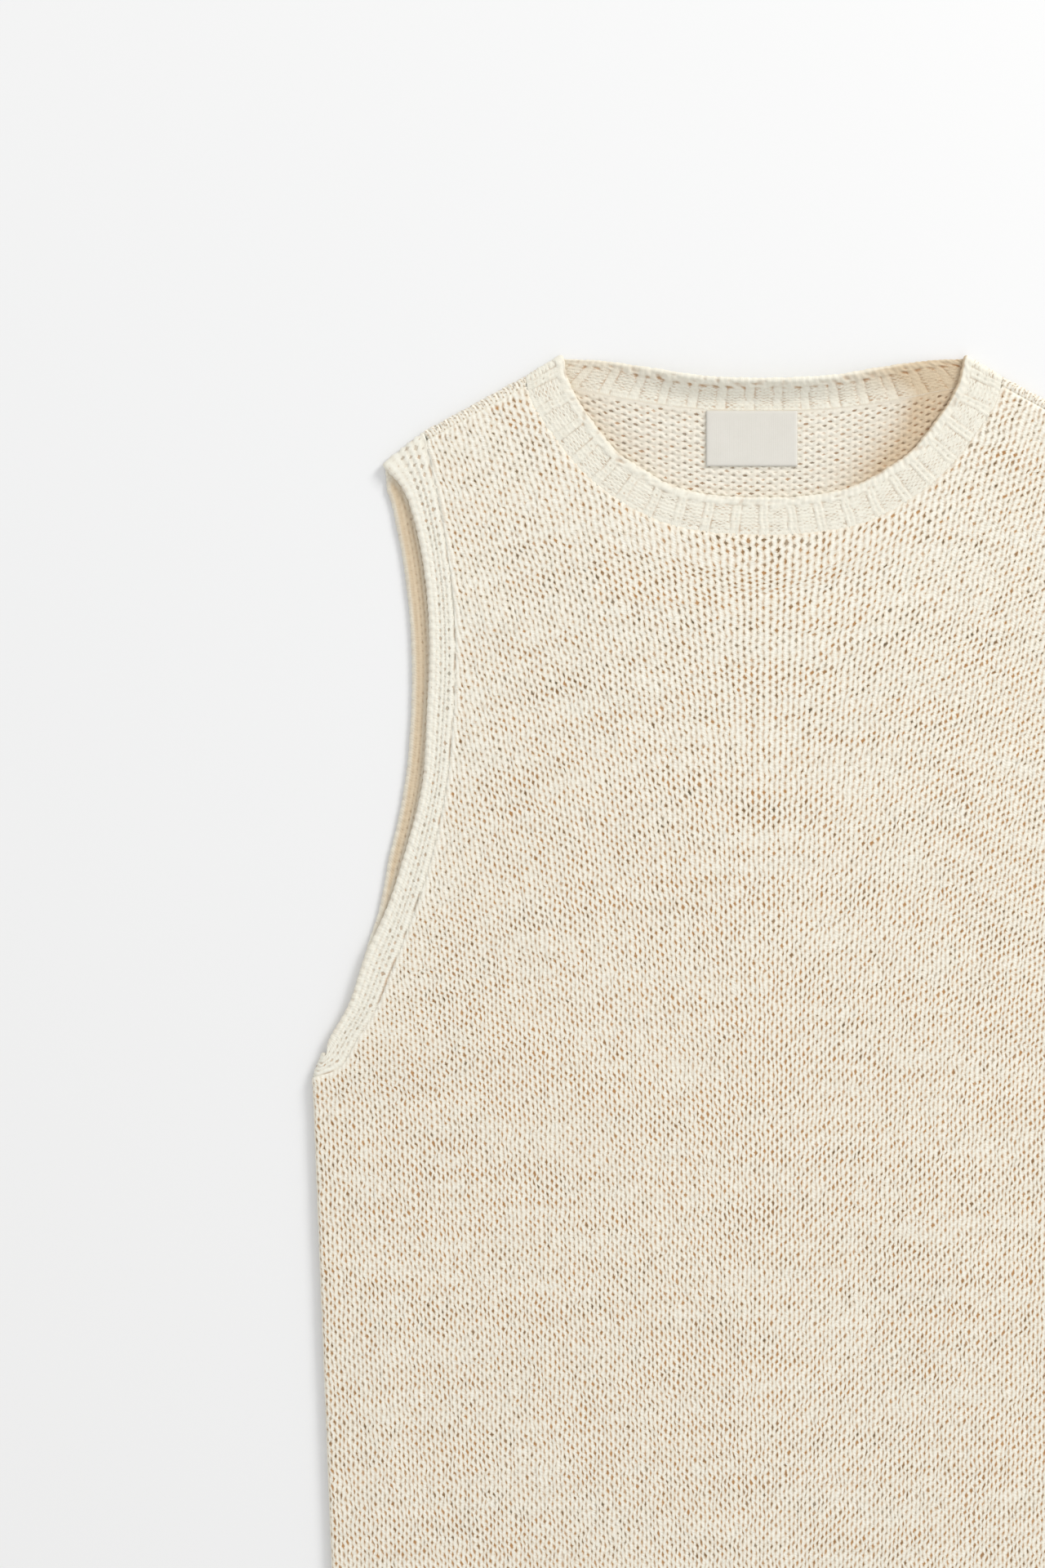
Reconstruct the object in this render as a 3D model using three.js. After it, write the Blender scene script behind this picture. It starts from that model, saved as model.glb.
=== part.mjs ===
// A sleeveless round-neck knit top, laid flat with its front up.
// Millimetres. +X runs across the top, +Y from the hem to the neck, +Z up from the surface that
// it lies on. The origin is the middle of its underside.

import * as THREE from "three";

// ---- driving sizes ----

const wall = 2.3; // the knitted cloth
const seamGap = 0.3; // between two pieces at a seam
const layerGap = 0.5; // between the back layer and the front, which lies on it
const labelWall = 0.6; // the woven label

const hemY = -320; // the top is 640 long, hem to neck points
const hemHalfWidth = 215.5;
const sideHalfWidth = 226.4; // at the underarm
const underarmY = -42.4;

const shoulderLap = 5; // how far the back comes forward over the shoulder fold
const neckStand = 9; // how high the middle of the back neckband stands off the back
const neckStandReach = 80; // how far in from the neck point it takes to stand up

const labelWidth = 45.8;
const labelHeight = 27.8;
const labelCentre = { x: -5.9, y: 277.7 };

const yarnCream = 0xe6dccb;
const bandCream = 0xebe3d6;
const labelWhite = 0xe7e3da;

// Half of the armhole band, from the shoulder fold down to the underarm fold. edge is the open
// edge and seam the line where the band meets the front. The back's share of the band lies
// backOut further out.
const armholeRows = [
  { edgeX: 192.3, edgeY: 264.0, seamX: 171.5, seamY: 281.0, backOut: 0 },
  { edgeX: 181.0, edgeY: 252.0, seamX: 165.5, seamY: 259.0, backOut: 8.4 },
  { edgeX: 173.4, edgeY: 230.0, seamX: 160.6, seamY: 233.0, backOut: 10 },
  { edgeX: 168.6, edgeY: 200.0, seamX: 156.0, seamY: 201.0, backOut: 10 },
  { edgeX: 167.4, edgeY: 170.0, seamX: 154.4, seamY: 169.0, backOut: 9 },
  { edgeX: 168.6, edgeY: 141.0, seamX: 155.6, seamY: 138.0, backOut: 8 },
  { edgeX: 171.0, edgeY: 104.0, seamX: 159.6, seamY: 100.0, backOut: 9 },
  { edgeX: 180.8, edgeY: 67.0, seamX: 169.2, seamY: 58.0, backOut: 7.4 },
  { edgeX: 188.6, edgeY: 43.0, seamX: 177.6, seamY: 34.0, backOut: 4 },
  { edgeX: 199.6, edgeY: 19.0, seamX: 185.0, seamY: 14.5, backOut: 0.4 },
  { edgeX: 207.8, edgeY: -5.7, seamX: 195.4, seamY: -10.3, backOut: 0 },
  { edgeX: 215.0, edgeY: -18.6, seamX: 204.2, seamY: -23.8, backOut: 0 },
  { edgeX: 218.4, edgeY: -24.8, seamX: 212.3, seamY: -37.2, backOut: 0 },
  { edgeX: 221.2, edgeY: -29.6, seamX: 226.4, seamY: -41.9, backOut: 0 },
];

// Half of the neckband, from the middle out to the neck point. edge is the open edge and seam
// the line where the band meets the panel.
const frontNeckRows = [
  { edgeX: 0, edgeY: 248.0, seamX: 0, seamY: 229.8 },
  { edgeX: 19.0, edgeY: 248.6, seamX: 23.0, seamY: 230.8 },
  { edgeX: 42.7, edgeY: 252.8, seamX: 48.8, seamY: 235.4 },
  { edgeX: 58.2, edgeY: 260.7, seamX: 68.6, seamY: 244.8 },
  { edgeX: 73.8, edgeY: 271.4, seamX: 87.0, seamY: 258.0 },
  { edgeX: 89.7, edgeY: 291.8, seamX: 106.0, seamY: 280.6 },
  { edgeX: 97.5, edgeY: 306.1, seamX: 116.6, seamY: 298.0 },
  { edgeX: 101.2, edgeY: 320.0, seamX: 119.5, seamY: 309.3 },
];
const backNeckRows = [
  { edgeX: 0, edgeY: 307.3, seamX: 0, seamY: 292.0 },
  { edgeX: 17.0, edgeY: 307.6, seamX: 18.0, seamY: 292.3 },
  { edgeX: 34.9, edgeY: 309.0, seamX: 38.0, seamY: 293.6 },
  { edgeX: 58.2, edgeY: 313.1, seamX: 64.0, seamY: 297.2 },
  { edgeX: 81.5, edgeY: 316.7, seamX: 92.0, seamY: 302.6 },
  { edgeX: 101.2, edgeY: 320.0, seamX: 119.5, seamY: 309.3 },
];

// ---- levels worked out from the sizes ----

const half = wall / 2;
const backZ = half; // middle of the back layer's wall
const frontZ = wall + layerGap + half; // middle of the front layer's wall
const foldRadius = (frontZ - backZ) / 2; // of the wall's middle, where one piece folds over
const foldInset = foldRadius + half; // from a fold's outside to where its bend starts
const foldSteps = 4;
const sideRadius = foldRadius - seamGap / 2; // where a side seam leaves its gap
const sideInset = sideRadius + half;
const sideSteps = 3; // round the side, from the flat to the seam

// ---- the outline in plan ----

const at = (x, y, z = 0) => new THREE.Vector3(x, y, z);
const fromTo = (a, b) => b.clone().sub(a).normalize();
const outOf = (line) => at(line.y, -line.x); // square to a line, on its right

// The fold along the shoulder and round its ends: tip, armhole seam, neck seam, neck point.
const foldCorners = [
  at(armholeRows[0].edgeX, armholeRows[0].edgeY),
  at(armholeRows[0].seamX, armholeRows[0].seamY),
  at(frontNeckRows.at(-1).seamX, frontNeckRows.at(-1).seamY),
  at(frontNeckRows.at(-1).edgeX, frontNeckRows.at(-1).edgeY),
];

// The way out of the fold at each corner, halfway between its two sides.
const foldWays = foldCorners.map((corner, i) => {
  const before = foldCorners[i - 1] ?? corner;
  const after = foldCorners[i + 1] ?? corner;
  return outOf(fromTo(before, after));
});

// Where the bend starts: the fold's outside, moved in.
const foldStarts = foldCorners.map((corner, i) =>
  corner.clone().addScaledVector(foldWays[i], -foldInset));

// Points of a fold between two of its corners: f runs from corner i to corner i + 1.
function shoulderFold(i, f) {
  const start = foldStarts[i].clone().lerp(foldStarts[i + 1], f);
  const way = foldWays[i].clone().lerp(foldWays[i + 1], f).normalize();
  return { start, way };
}

const underarmWay = {
  edge: at(0.92, 0.38).normalize(),
  seam: at(1, 0),
};

// The middle of the wall round a fold, from the back layer (turn 0) to the front (turn 1).
function foldPoint({ start, way }, turn) {
  const angle = turn * Math.PI;
  const out = way.clone().multiplyScalar(Math.sin(angle)).setZ(-Math.cos(angle));
  const point = start.clone().setZ((backZ + frontZ) / 2).addScaledVector(out, foldRadius);
  point.facing = out;
  return point;
}

// A smooth line through one pair of columns of a table, with its ends moved to where the
// bends start.
function lineThrough(rows, xName, yName, firstPoint, lastPoint) {
  const points = rows.map((row) => at(row[xName], row[yName]));
  if (firstPoint) points[0] = firstPoint;
  if (lastPoint) points[points.length - 1] = lastPoint;
  return new THREE.CatmullRomCurve3(points, false, "centripetal");
}

const lastArmRow = armholeRows.at(-1);
const underarmEdge = at(lastArmRow.edgeX, lastArmRow.edgeY)
  .addScaledVector(underarmWay.edge, -foldInset);
const underarmSeam = at(lastArmRow.seamX, lastArmRow.seamY)
  .addScaledVector(underarmWay.seam, -foldInset);

const armholeEdge = lineThrough(armholeRows, "edgeX", "edgeY", foldStarts[0], underarmEdge);
const armholeSeam = lineThrough(armholeRows, "seamX", "seamY", foldStarts[1], underarmSeam);
const frontNeckEdge = lineThrough(frontNeckRows, "edgeX", "edgeY", null, foldStarts[3]);
const frontNeckSeam = lineThrough(frontNeckRows, "seamX", "seamY", null, foldStarts[2]);
const backNeckEdge = lineThrough(backNeckRows, "edgeX", "edgeY", null, foldStarts[3]);
const backNeckSeam = lineThrough(backNeckRows, "seamX", "seamY", null, foldStarts[2]);

// How much further out the back of the armhole lies, t of the way down.
function backOut(t) {
  const place = t * (armholeRows.length - 1);
  const row = Math.min(Math.floor(place), armholeRows.length - 2);
  const { backOut: above } = armholeRows[row];
  const { backOut: below } = armholeRows[row + 1];
  return THREE.MathUtils.lerp(above, below, place - row);
}

// ---- stations: the same places are used by both pieces that meet at a seam ----

// Where the shoulder seam crosses the armhole seam and the neck seam, a lap past the fold.
const lapLength = shoulderLap - foldInset;
const armholeLap = armholeSeam.getUtoTmapping(0, lapLength);
const neckLap = frontNeckSeam.getUtoTmapping(0, frontNeckSeam.getLength() - lapLength);

const evenly = (count) => Array.from({ length: count + 1 }, (_, i) => i / count);
const armholeStations = evenly(17); // 0 at the shoulder fold, 1 at the underarm fold
const frontArmStations = [0, armholeLap, ...armholeStations.slice(1)];
const frontNeckStations = [...evenly(11).slice(0, -1), neckLap, 1]; // 0 in the middle
const backNeckStations = evenly(9);

// A seam's point and the open edge across the band from it.
const frontArm = (t) => ({ edge: armholeEdge.getPoint(t), seam: armholeSeam.getPoint(t) });
const backArm = (t) => {
  const { edge, seam } = frontArm(t);
  return { edge: edge.setX(edge.x + backOut(t)), seam: seam.setX(seam.x + backOut(t)) };
};
const frontNeck = (t) => ({ edge: frontNeckEdge.getPoint(t), seam: frontNeckSeam.getPoint(t) });
const backNeck = (t) => ({ edge: backNeckEdge.getPoint(t), seam: backNeckSeam.getPoint(t) });

// The seam's point on the panel's side of the gap, and on the band's side.
const panelSide = ({ edge, seam }) =>
  seam.clone().addScaledVector(fromTo(edge, seam), seamGap / 2);
const bandSide = ({ edge, seam }) =>
  seam.clone().addScaledVector(fromTo(seam, edge), seamGap / 2);

// ---- solids ----

// A closed wall on nets of points of its middle. Nets that touch share their points, and a
// point may state the way its wall faces, where its neighbours alone would tilt its rim.
function wallSolid(nets, thickness) {
  const points = [];
  const places = new Map();
  const placeOf = (point) => {
    const key = point.toArray().map((c) => Math.round(c * 1e4)).join();
    if (!places.has(key)) {
      places.set(key, points.length);
      points.push(point);
    }
    return places.get(key);
  };
  const quads = [];
  for (const net of nets) {
    for (let r = 0; r + 1 < net.length; r++) {
      for (let c = 0; c + 1 < net[r].length; c++) {
        const corners = [net[r][c], net[r][c + 1], net[r + 1][c + 1], net[r + 1][c]];
        quads.push(corners.map(placeOf));
      }
    }
  }

  const normals = points.map(() => at(0, 0));
  for (const [a, b, c, d] of quads) {
    const across = points[c].clone().sub(points[a]);
    const normal = across.cross(points[d].clone().sub(points[b]));
    for (const corner of [a, b, c, d]) normals[corner].add(normal);
  }
  const facing = points.map((point, i) => {
    const average = normals[i].normalize();
    if (!point.facing) return average;
    return point.facing.clone().multiplyScalar(Math.sign(point.facing.dot(average)));
  });
  const vertices = [1, -1].flatMap((side) =>
    points.map((point, i) => point.clone().addScaledVector(facing[i], side * thickness / 2)));

  const below = points.length; // the lower skin's points follow the upper skin's
  const faces = [];
  const edges = new Set(quads.flatMap((quad) => quad.map((a, i) => `${a},${quad[(i + 1) % 4]}`)));
  for (const quad of quads) {
    const [a, b, c, d] = quad;
    faces.push(a, b, c, a, c, d);
    faces.push(a + below, c + below, b + below, a + below, d + below, c + below);
    quad.forEach((from, i) => {
      const to = quad[(i + 1) % 4];
      if (edges.has(`${to},${from}`)) return;
      faces.push(from, from + below, to + below, from, to + below, to);
    });
  }
  const geometry = new THREE.BufferGeometry().setFromPoints(vertices);
  geometry.setIndex(faces);
  geometry.computeVertexNormals();
  return geometry;
}

function piece(name, geometry, color, roughness) {
  const material = new THREE.MeshStandardMaterial({ color, roughness, metalness: 0 });
  const mesh = new THREE.Mesh(geometry, material);
  mesh.name = name;
  return mesh;
}

function mirrored(point) {
  const twin = at(-point.x, point.y, point.z);
  if (point.facing) twin.facing = mirrored(point.facing);
  return twin;
}

// A row of points from the middle to the right, made whole with its mirror image.
const bothSides = (row) => [...row.slice(1).reverse().map(mirrored), ...row];

// ---- the two panels ----

const neckColumns = frontNeckStations.length - 2; // from the middle to the shoulder seam
const shoulderColumns = 4;
const bodyRows = 6; // from the hem to the underarm

// A side's outline, from the hem up to the underarm.
const sideX = (y) =>
  THREE.MathUtils.mapLinear(y, hemY, underarmY, hemHalfWidth, sideHalfWidth);

// A panel's net. top lists its upper edge from the middle out, and side its armhole edge from
// the underarm up. Between them the columns run from the hem to the top, and they lean out
// or in as the side does.
function panelNet(top, side, z) {
  const last = top.length - 1;
  const straight = evenly(bodyRows).map((f) => {
    const y = THREE.MathUtils.lerp(hemY, underarmY, f);
    return at(sideX(y) - sideInset, y);
  });
  const rows = [...straight, ...side];
  const corner = { low: straight[0], high: top[last] };
  return rows.map((edge) => {
    const up = (edge.y - corner.low.y) / (corner.high.y - corner.low.y);
    const lean = edge.x - THREE.MathUtils.lerp(corner.low.x, corner.high.x, up);
    return bothSides(top.map((head, i) => {
      const out = i / last;
      const x = THREE.MathUtils.lerp(corner.low.x * out, head.x, up) + lean * out;
      const y = THREE.MathUtils.lerp(corner.low.y, head.y, up);
      return at(x, y, z);
    }));
  });
}

// The rounded side of a panel below the armhole, from its flat to the side seam. It turns up
// on the back panel (bend 1) and down on the front panel (bend -1).
function sideNet(z, bend) {
  return evenly(bodyRows).map((f) => {
    const y = THREE.MathUtils.lerp(hemY, underarmY, f);
    return evenly(sideSteps).map((step) => {
      const angle = step * Math.PI / 2;
      const x = sideX(y) - sideInset + sideRadius * Math.sin(angle);
      const point = at(x, y, z + bend * sideRadius * (1 - Math.cos(angle)));
      point.facing = at(-bend * Math.sin(angle), 0, Math.cos(angle));
      return point;
    });
  });
}

const mirroredNet = (net) => net.map((row) => row.map(mirrored).reverse());

// The shoulder seam, from the neckband to the armband, square to the fold it follows.
function shoulderSeam(side) {
  const neckEnd = panelSide(frontNeck(neckLap));
  const armEnd = panelSide(frontArm(armholeLap));
  return evenly(shoulderColumns).map((f) => {
    const { way } = shoulderFold(1, 1 - f);
    return neckEnd.clone().lerp(armEnd, f).addScaledVector(way, side * seamGap / 2);
  });
}

function frontPanel() {
  const neck = frontNeckStations.slice(0, neckColumns).map((t) => panelSide(frontNeck(t)));
  const top = [...neck, ...shoulderSeam(-1)];
  const side = frontArmStations.slice(2, -1).reverse().map((t) => panelSide(frontArm(t)));
  const flat = panelNet(top, [...side, top.at(-1)], frontZ);
  const round = sideNet(frontZ, -1);
  return wallSolid([flat, round, mirroredNet(round)], wall);
}

function backPanel() {
  const neck = backNeckStations.slice(0, -1).map((t) => panelSide(backNeck(t)));
  const fold = evenly(shoulderColumns).map((f) => shoulderFold(1, 1 - f));
  const inward = seamGap / 2 / foldCorners[1].distanceTo(foldCorners[2]);
  fold[0] = shoulderFold(1, 1 - inward);
  fold[shoulderColumns] = shoulderFold(1, inward);
  const top = [...neck, ...fold.map(({ start }) => start)];
  const side = armholeStations.slice(1, -1).reverse().map((t) => panelSide(backArm(t)));
  const flat = panelNet(top, [...side, top.at(-1)], backZ);
  const round = sideNet(backZ, 1);

  const lap = evenly(foldSteps).map((turn) => fold.map((place) => foldPoint(place, turn)));
  lap.push(shoulderSeam(1).map((point) => point.setZ(frontZ)));
  return wallSolid([flat, round, mirroredNet(round), lap, mirroredNet(lap)], wall);
}

// ---- the neckband ----

const neckSteps = 5; // across the band

// One row across a band, from the seam to the open edge. Its first step is flat, and past it
// the band bends up, to stand lift high at the edge.
function bandRow({ edge, seam }, steps, z, lift = 0) {
  const foot = bandSide({ edge, seam });
  return evenly(steps).map((f) => {
    const bend = Math.max(0, (f * steps - 1) / (steps - 1));
    return foot.clone().lerp(edge, f).setZ(z + lift * bend * bend * (1.6 - 0.6 * bend));
  });
}

// A row across a band on its fold, from the seam to the open edge.
function foldRow(start, way, steps, turn) {
  const foot = bandSide({ edge: start.edge, seam: start.seam });
  return evenly(steps).map((f) => {
    const place = {
      start: foot.clone().lerp(start.edge, f),
      way: way.seam.clone().lerp(way.edge, f).normalize(),
    };
    return foldPoint(place, turn);
  });
}

const midTurns = evenly(foldSteps).slice(1, -1);

function neckband() {
  const fold = { edge: foldStarts[3], seam: foldStarts[2] };
  const way = { edge: foldWays[3], seam: foldWays[2] };
  const stand = (edge) =>
    neckStand * THREE.MathUtils.smoothstep(fold.edge.x - Math.abs(edge.x), 0, neckStandReach);
  const back = backNeckStations.map((t) => {
    const across = backNeck(t);
    return bandRow(across, neckSteps, backZ, stand(across.edge));
  });
  const round = midTurns.map((turn) => foldRow(fold, way, neckSteps, turn));
  const front = frontNeckStations.map((t) => bandRow(frontNeck(t), neckSteps, frontZ));
  const right = [...back, ...round, ...front.reverse()];
  const left = right.map((row) => row.map(mirrored)).reverse();
  return wallSolid([[...right, ...left.slice(1)]], wall);
}

// ---- the armbands ----

const armSteps = 3; // across the band

function armband() {
  const shoulder = { edge: foldStarts[0], seam: foldStarts[1] };
  const shoulderWay = { edge: foldWays[0], seam: foldWays[1] };
  const underarm = { edge: underarmEdge, seam: underarmSeam };
  const back = armholeStations.map((t) => bandRow(backArm(t), armSteps, backZ));
  const top = midTurns.map((turn) => foldRow(shoulder, shoulderWay, armSteps, turn));
  const front = frontArmStations.map((t) => bandRow(frontArm(t), armSteps, frontZ));
  const bottom = midTurns.map((turn) => foldRow(underarm, underarmWay, armSteps, 1 - turn));
  const ring = [...back.reverse(), ...top, ...front, ...bottom];
  return [...ring, ring[0]];
}

// ---- the label ----

function label() {
  const z = backZ + half + seamGap + labelWall / 2;
  const net = evenly(4).map((v) => evenly(7).map((u) =>
    at(labelCentre.x + (u - 0.5) * labelWidth, labelCentre.y + (v - 0.5) * labelHeight, z)));
  return wallSolid([net], labelWall);
}

// ---- the whole top ----

const top = new THREE.Group();
top.name = "sleeveless_knit_top";

top.add(piece("front_panel", frontPanel(), yarnCream, 0.9));
top.add(piece("back_panel", backPanel(), yarnCream, 0.9));
top.add(piece("neckband", neckband(), bandCream, 0.9));
top.add(piece("armband_right", wallSolid([armband()], wall), bandCream, 0.9));
top.add(piece("armband_left", wallSolid([mirroredNet(armband())], wall), bandCream, 0.9));
top.add(piece("label", label(), labelWhite, 0.7));

export default top;
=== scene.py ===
# A sleeveless knit top in chunky cotton, laid flat with its front up.
import math

import bpy
import numpy as np
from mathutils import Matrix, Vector
from mathutils.geometry import delaunay_2d_cdt


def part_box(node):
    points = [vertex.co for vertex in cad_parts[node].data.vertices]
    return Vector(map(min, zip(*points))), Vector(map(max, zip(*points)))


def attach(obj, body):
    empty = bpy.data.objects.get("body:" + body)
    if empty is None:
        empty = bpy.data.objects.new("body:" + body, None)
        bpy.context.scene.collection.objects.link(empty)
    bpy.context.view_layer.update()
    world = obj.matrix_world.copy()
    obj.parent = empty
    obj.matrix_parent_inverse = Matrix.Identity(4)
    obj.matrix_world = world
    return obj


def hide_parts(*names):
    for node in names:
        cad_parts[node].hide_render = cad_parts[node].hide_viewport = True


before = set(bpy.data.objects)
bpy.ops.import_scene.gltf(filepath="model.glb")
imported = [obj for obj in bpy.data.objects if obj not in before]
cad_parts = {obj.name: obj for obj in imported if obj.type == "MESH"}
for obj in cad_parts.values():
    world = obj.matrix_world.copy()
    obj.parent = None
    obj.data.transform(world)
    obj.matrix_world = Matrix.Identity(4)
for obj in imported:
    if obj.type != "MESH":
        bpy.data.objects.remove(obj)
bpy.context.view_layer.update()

mm = 0.001  # lengths below are in millimetres until a mesh is made
full = 2 * math.pi

# view and light

view = {
    "centre": (-120.8, 104.6), "height": 784.7, "lens": 85, "filmHeight": 36, "aboveTop": 5, "farthest": 20,
    "sky": 0.77, "skyColor": (1.0, 0.998, 0.996),
    "keyPlace": (2300, 2200, 2050), "keySize": 1300, "keyPower": 78, "keyColor": (1.0, 0.988, 0.968),
}


def makeCamera():
    away = view["height"] * view["lens"] / view["filmHeight"] + view["aboveTop"]
    place = [c * mm for c in (*view["centre"], away)]
    bpy.ops.object.camera_add(location=place, rotation=(0, 0, 0))
    camera = bpy.context.object
    camera.name = "mainCamera"
    camera.data.sensor_fit = "VERTICAL"
    camera.data.sensor_height = view["filmHeight"]
    camera.data.lens = view["lens"]
    camera.data.clip_end = view["farthest"]
    bpy.context.scene.camera = camera


def makeLight():
    world = bpy.data.worlds.new("softRoom")
    world.use_nodes = True
    background = world.node_tree.nodes["Background"]
    background.inputs["Color"].default_value = (*view["skyColor"], 1)
    background.inputs["Strength"].default_value = view["sky"]
    bpy.context.scene.world = world
    bpy.ops.object.light_add(type="AREA", location=[c * mm for c in view["keyPlace"]])
    key = bpy.context.object
    key.name = "keyLight"
    key.data.size = view["keySize"] * mm
    key.data.energy = view["keyPower"]
    key.data.color = view["keyColor"]
    key.rotation_euler = (-key.location).to_track_quat("-Z", "Y").to_euler()
    bpy.context.scene.view_settings.view_transform = "Standard"


makeCamera()
makeLight()
print("camera and light are up")

# shader helpers


class Value:
    # a socket in an expression: each operator adds its own Math node
    def __init__(self, tree, socket):
        self.tree = tree
        self.socket = socket

    def math(self, operation, other=None, swap=False):
        node = self.tree.nodes.new("ShaderNodeMath")
        node.operation = operation
        terms = [self] if other is None else [other, self] if swap else [self, other]
        for place, term in zip(node.inputs, terms):
            if isinstance(term, Value):
                self.tree.links.new(term.socket, place)
            else:
                place.default_value = term
        return Value(self.tree, node.outputs[0])

    def out(self, number):
        # another output of the same node
        return Value(self.tree, self.socket.node.outputs[number])

    def __add__(self, other):
        return self.math("ADD", other)

    def __sub__(self, other):
        return self.math("SUBTRACT", other)

    def __rsub__(self, other):
        return self.math("SUBTRACT", other, swap=True)

    def __mul__(self, other):
        return self.math("MULTIPLY", other)

    __radd__ = __add__
    __rmul__ = __mul__


class Finish:
    # one material and its nodes
    def __init__(self, name, **constants):
        self.material = bpy.data.materials.new(name)
        self.material.use_nodes = True
        self.tree = self.material.node_tree
        self.tree.nodes.clear()
        self.shader = self.tree.nodes.new("ShaderNodeBsdfPrincipled")
        output = self.tree.nodes.new("ShaderNodeOutputMaterial")
        self.tree.links.new(self.shader.outputs[0], output.inputs[0])
        for socket, value in constants.items():
            self.shader.inputs[socket.replace("_", " ")].default_value = value

    def node(self, kind, settings=None, inputs=None, out=0):
        node = self.tree.nodes.new("ShaderNode" + kind)
        for name, value in (settings or {}).items():
            if name == "stops":
                ramp = node.color_ramp.elements
                while len(ramp) < len(value):
                    ramp.new(0.5)
                for stop, (position, tone) in zip(ramp, value):
                    stop.position = position
                    stop.color = (*tone, 1)
            else:
                setattr(node, name, value)
        for place, value in (inputs or {}).items():
            self.link(value, node.inputs[place])
        return Value(self.tree, node.outputs[out])

    def link(self, value, socket):
        if isinstance(value, Value):
            self.tree.links.new(value.socket, socket)
        elif isinstance(value, tuple) and len(value) == 3 and socket.type == "RGBA":
            socket.default_value = (*value, 1)
        else:
            socket.default_value = value

    def mix(self, share, first, second, how="MIX"):
        settings = {"data_type": "RGBA", "blend_type": how}
        return self.node("Mix", settings, {0: share, 6: first, 7: second}, out=2)

    def flatNoise(self, place, detail, roughness, scale=1.0, stretch=(1, 1, 1)):
        stretched = self.node("Mapping", inputs={"Vector": place, "Scale": stretch})
        inputs = {"Vector": stretched, "Scale": scale, "Detail": detail, "Roughness": roughness}
        return self.node("TexNoise", {"noise_dimensions": "2D"}, inputs)

    def bump(self, strength, depth, height):
        return self.node("Bump", inputs={"Strength": strength, "Distance": depth * mm, "Height": height})

    def attribute(self, name):
        return self.node("Attribute", {"attribute_name": name}, out=2)

    def finish(self, **links):
        for socket, value in links.items():
            self.link(value, self.shader.inputs[socket.replace("_", " ")])
        return self.material


def color(red, green, blue):
    # a display colour, 0 to 255, as the shader wants it
    share = [c / 255 for c in (red, green, blue)]
    return tuple(c / 12.92 if c <= 0.04045 else ((c + 0.055) / 1.055) ** 2.4 for c in share)


# the cut

cut = {
    "wall": 2.3, "seamGap": 0.3, "layerGap": 0.5, "hemHalfWidth": 215.5, "sideHalfWidth": 226.4,
    "hemY": -320, "underarmY": -42.4, "shoulderLap": 5, "neckStand": 9, "neckStandReach": 80,
}


def table(names, text):
    rows = np.array(text.split(), float).reshape(-1, len(names.split()))
    return dict(zip(names.split(), rows.T))


# half of the armhole band, shoulder fold to underarm; the back's share lies backOut further out
armhole = table("edgeX edgeY seamX seamY backOut", """
    192.3 264.0 171.5 281.0  0
    181.0 252.0 165.5 259.0  8.4
    173.4 230.0 160.6 233.0 10
    168.6 200.0 156.0 201.0 10
    167.4 170.0 154.4 169.0  9
    168.6 141.0 155.6 138.0  8
    171.0 104.0 159.6 100.0  9
    180.8  67.0 169.2  58.0  7.4
    188.6  43.0 177.6  34.0  4
    199.6  19.0 185.0  14.5  0.4
    207.8  -5.7 195.4 -10.3  0
    215.0 -18.6 204.2 -23.8  0
    218.4 -24.8 212.3 -37.2  0
    221.2 -29.6 226.4 -41.9  0""")

# half of the neckband, from the middle out to the neck point
frontNeck = table("edgeX edgeY seamX seamY", """
      0.0 248.0   0.0 229.8
     19.0 248.6  23.0 230.8
     42.7 252.8  48.8 235.4
     58.2 260.7  68.6 244.8
     73.8 271.4  87.0 258.0
     89.7 291.8 106.0 280.6
     97.5 306.1 116.6 298.0
    101.2 320.0 119.5 309.3""")
backNeck = table("edgeX edgeY seamX seamY", """
      0.0 307.3   0.0 292.0
     17.0 307.6  18.0 292.3
     34.9 309.0  38.0 293.6
     58.2 313.1  64.0 297.2
     81.5 316.7  92.0 302.6
    101.2 320.0 119.5 309.3""")

half = cut["wall"] / 2
backZ = half
frontZ = cut["wall"] + cut["layerGap"] + half
midZ = (backZ + frontZ) / 2
foldRadius = (frontZ - backZ) / 2
foldInset = foldRadius + half
sideRadius = foldRadius - cut["seamGap"] / 2
sideInset = sideRadius + half


def unit(vectors):
    return vectors / np.linalg.norm(vectors, axis=-1, keepdims=True)


def blend(value, low, high):
    # 0 below low, 1 above high, smooth between
    share = np.clip((value - low) / (high - low), 0, 1)
    return share * share * (3 - 2 * share)


def mixed(first, second, share):
    return first + (second - first) * share


def bell(away, width):
    # 1 in the middle, falling off over width
    return np.exp(-(away / width) ** 2)


def splinePoints(points, places):
    # a centripetal spline through the points, at places from 0 to 1
    points = np.asarray(points, float)
    last = len(points) - 1
    ends = np.vstack([2 * points[0] - points[1], points, 2 * points[-1] - points[-2]])
    place = np.atleast_1d(np.asarray(places, float)) * last
    piece = np.clip(np.floor(place).astype(int), 0, last - 1)
    t = (place - piece)[:, None]
    a, b, c, d = (ends[piece + i] for i in range(4))
    ab, bc, cd = (np.sqrt(np.linalg.norm(q - p, axis=1))[:, None] for p, q in ((a, b), (b, c), (c, d)))
    leave = ((b - a) / ab - (c - a) / (ab + bc) + (c - b) / bc) * bc
    arrive = ((c - b) / bc - (d - b) / (bc + cd) + (d - c) / cd) * bc
    return (b + leave * t + (3 * (c - b) - 2 * leave - arrive) * t ** 2
            + (2 * (b - c) + leave + arrive) * t ** 3)


def lengthAlong(points):
    return np.concatenate([[0], np.cumsum(np.linalg.norm(np.diff(points, axis=0), axis=1))])


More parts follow.
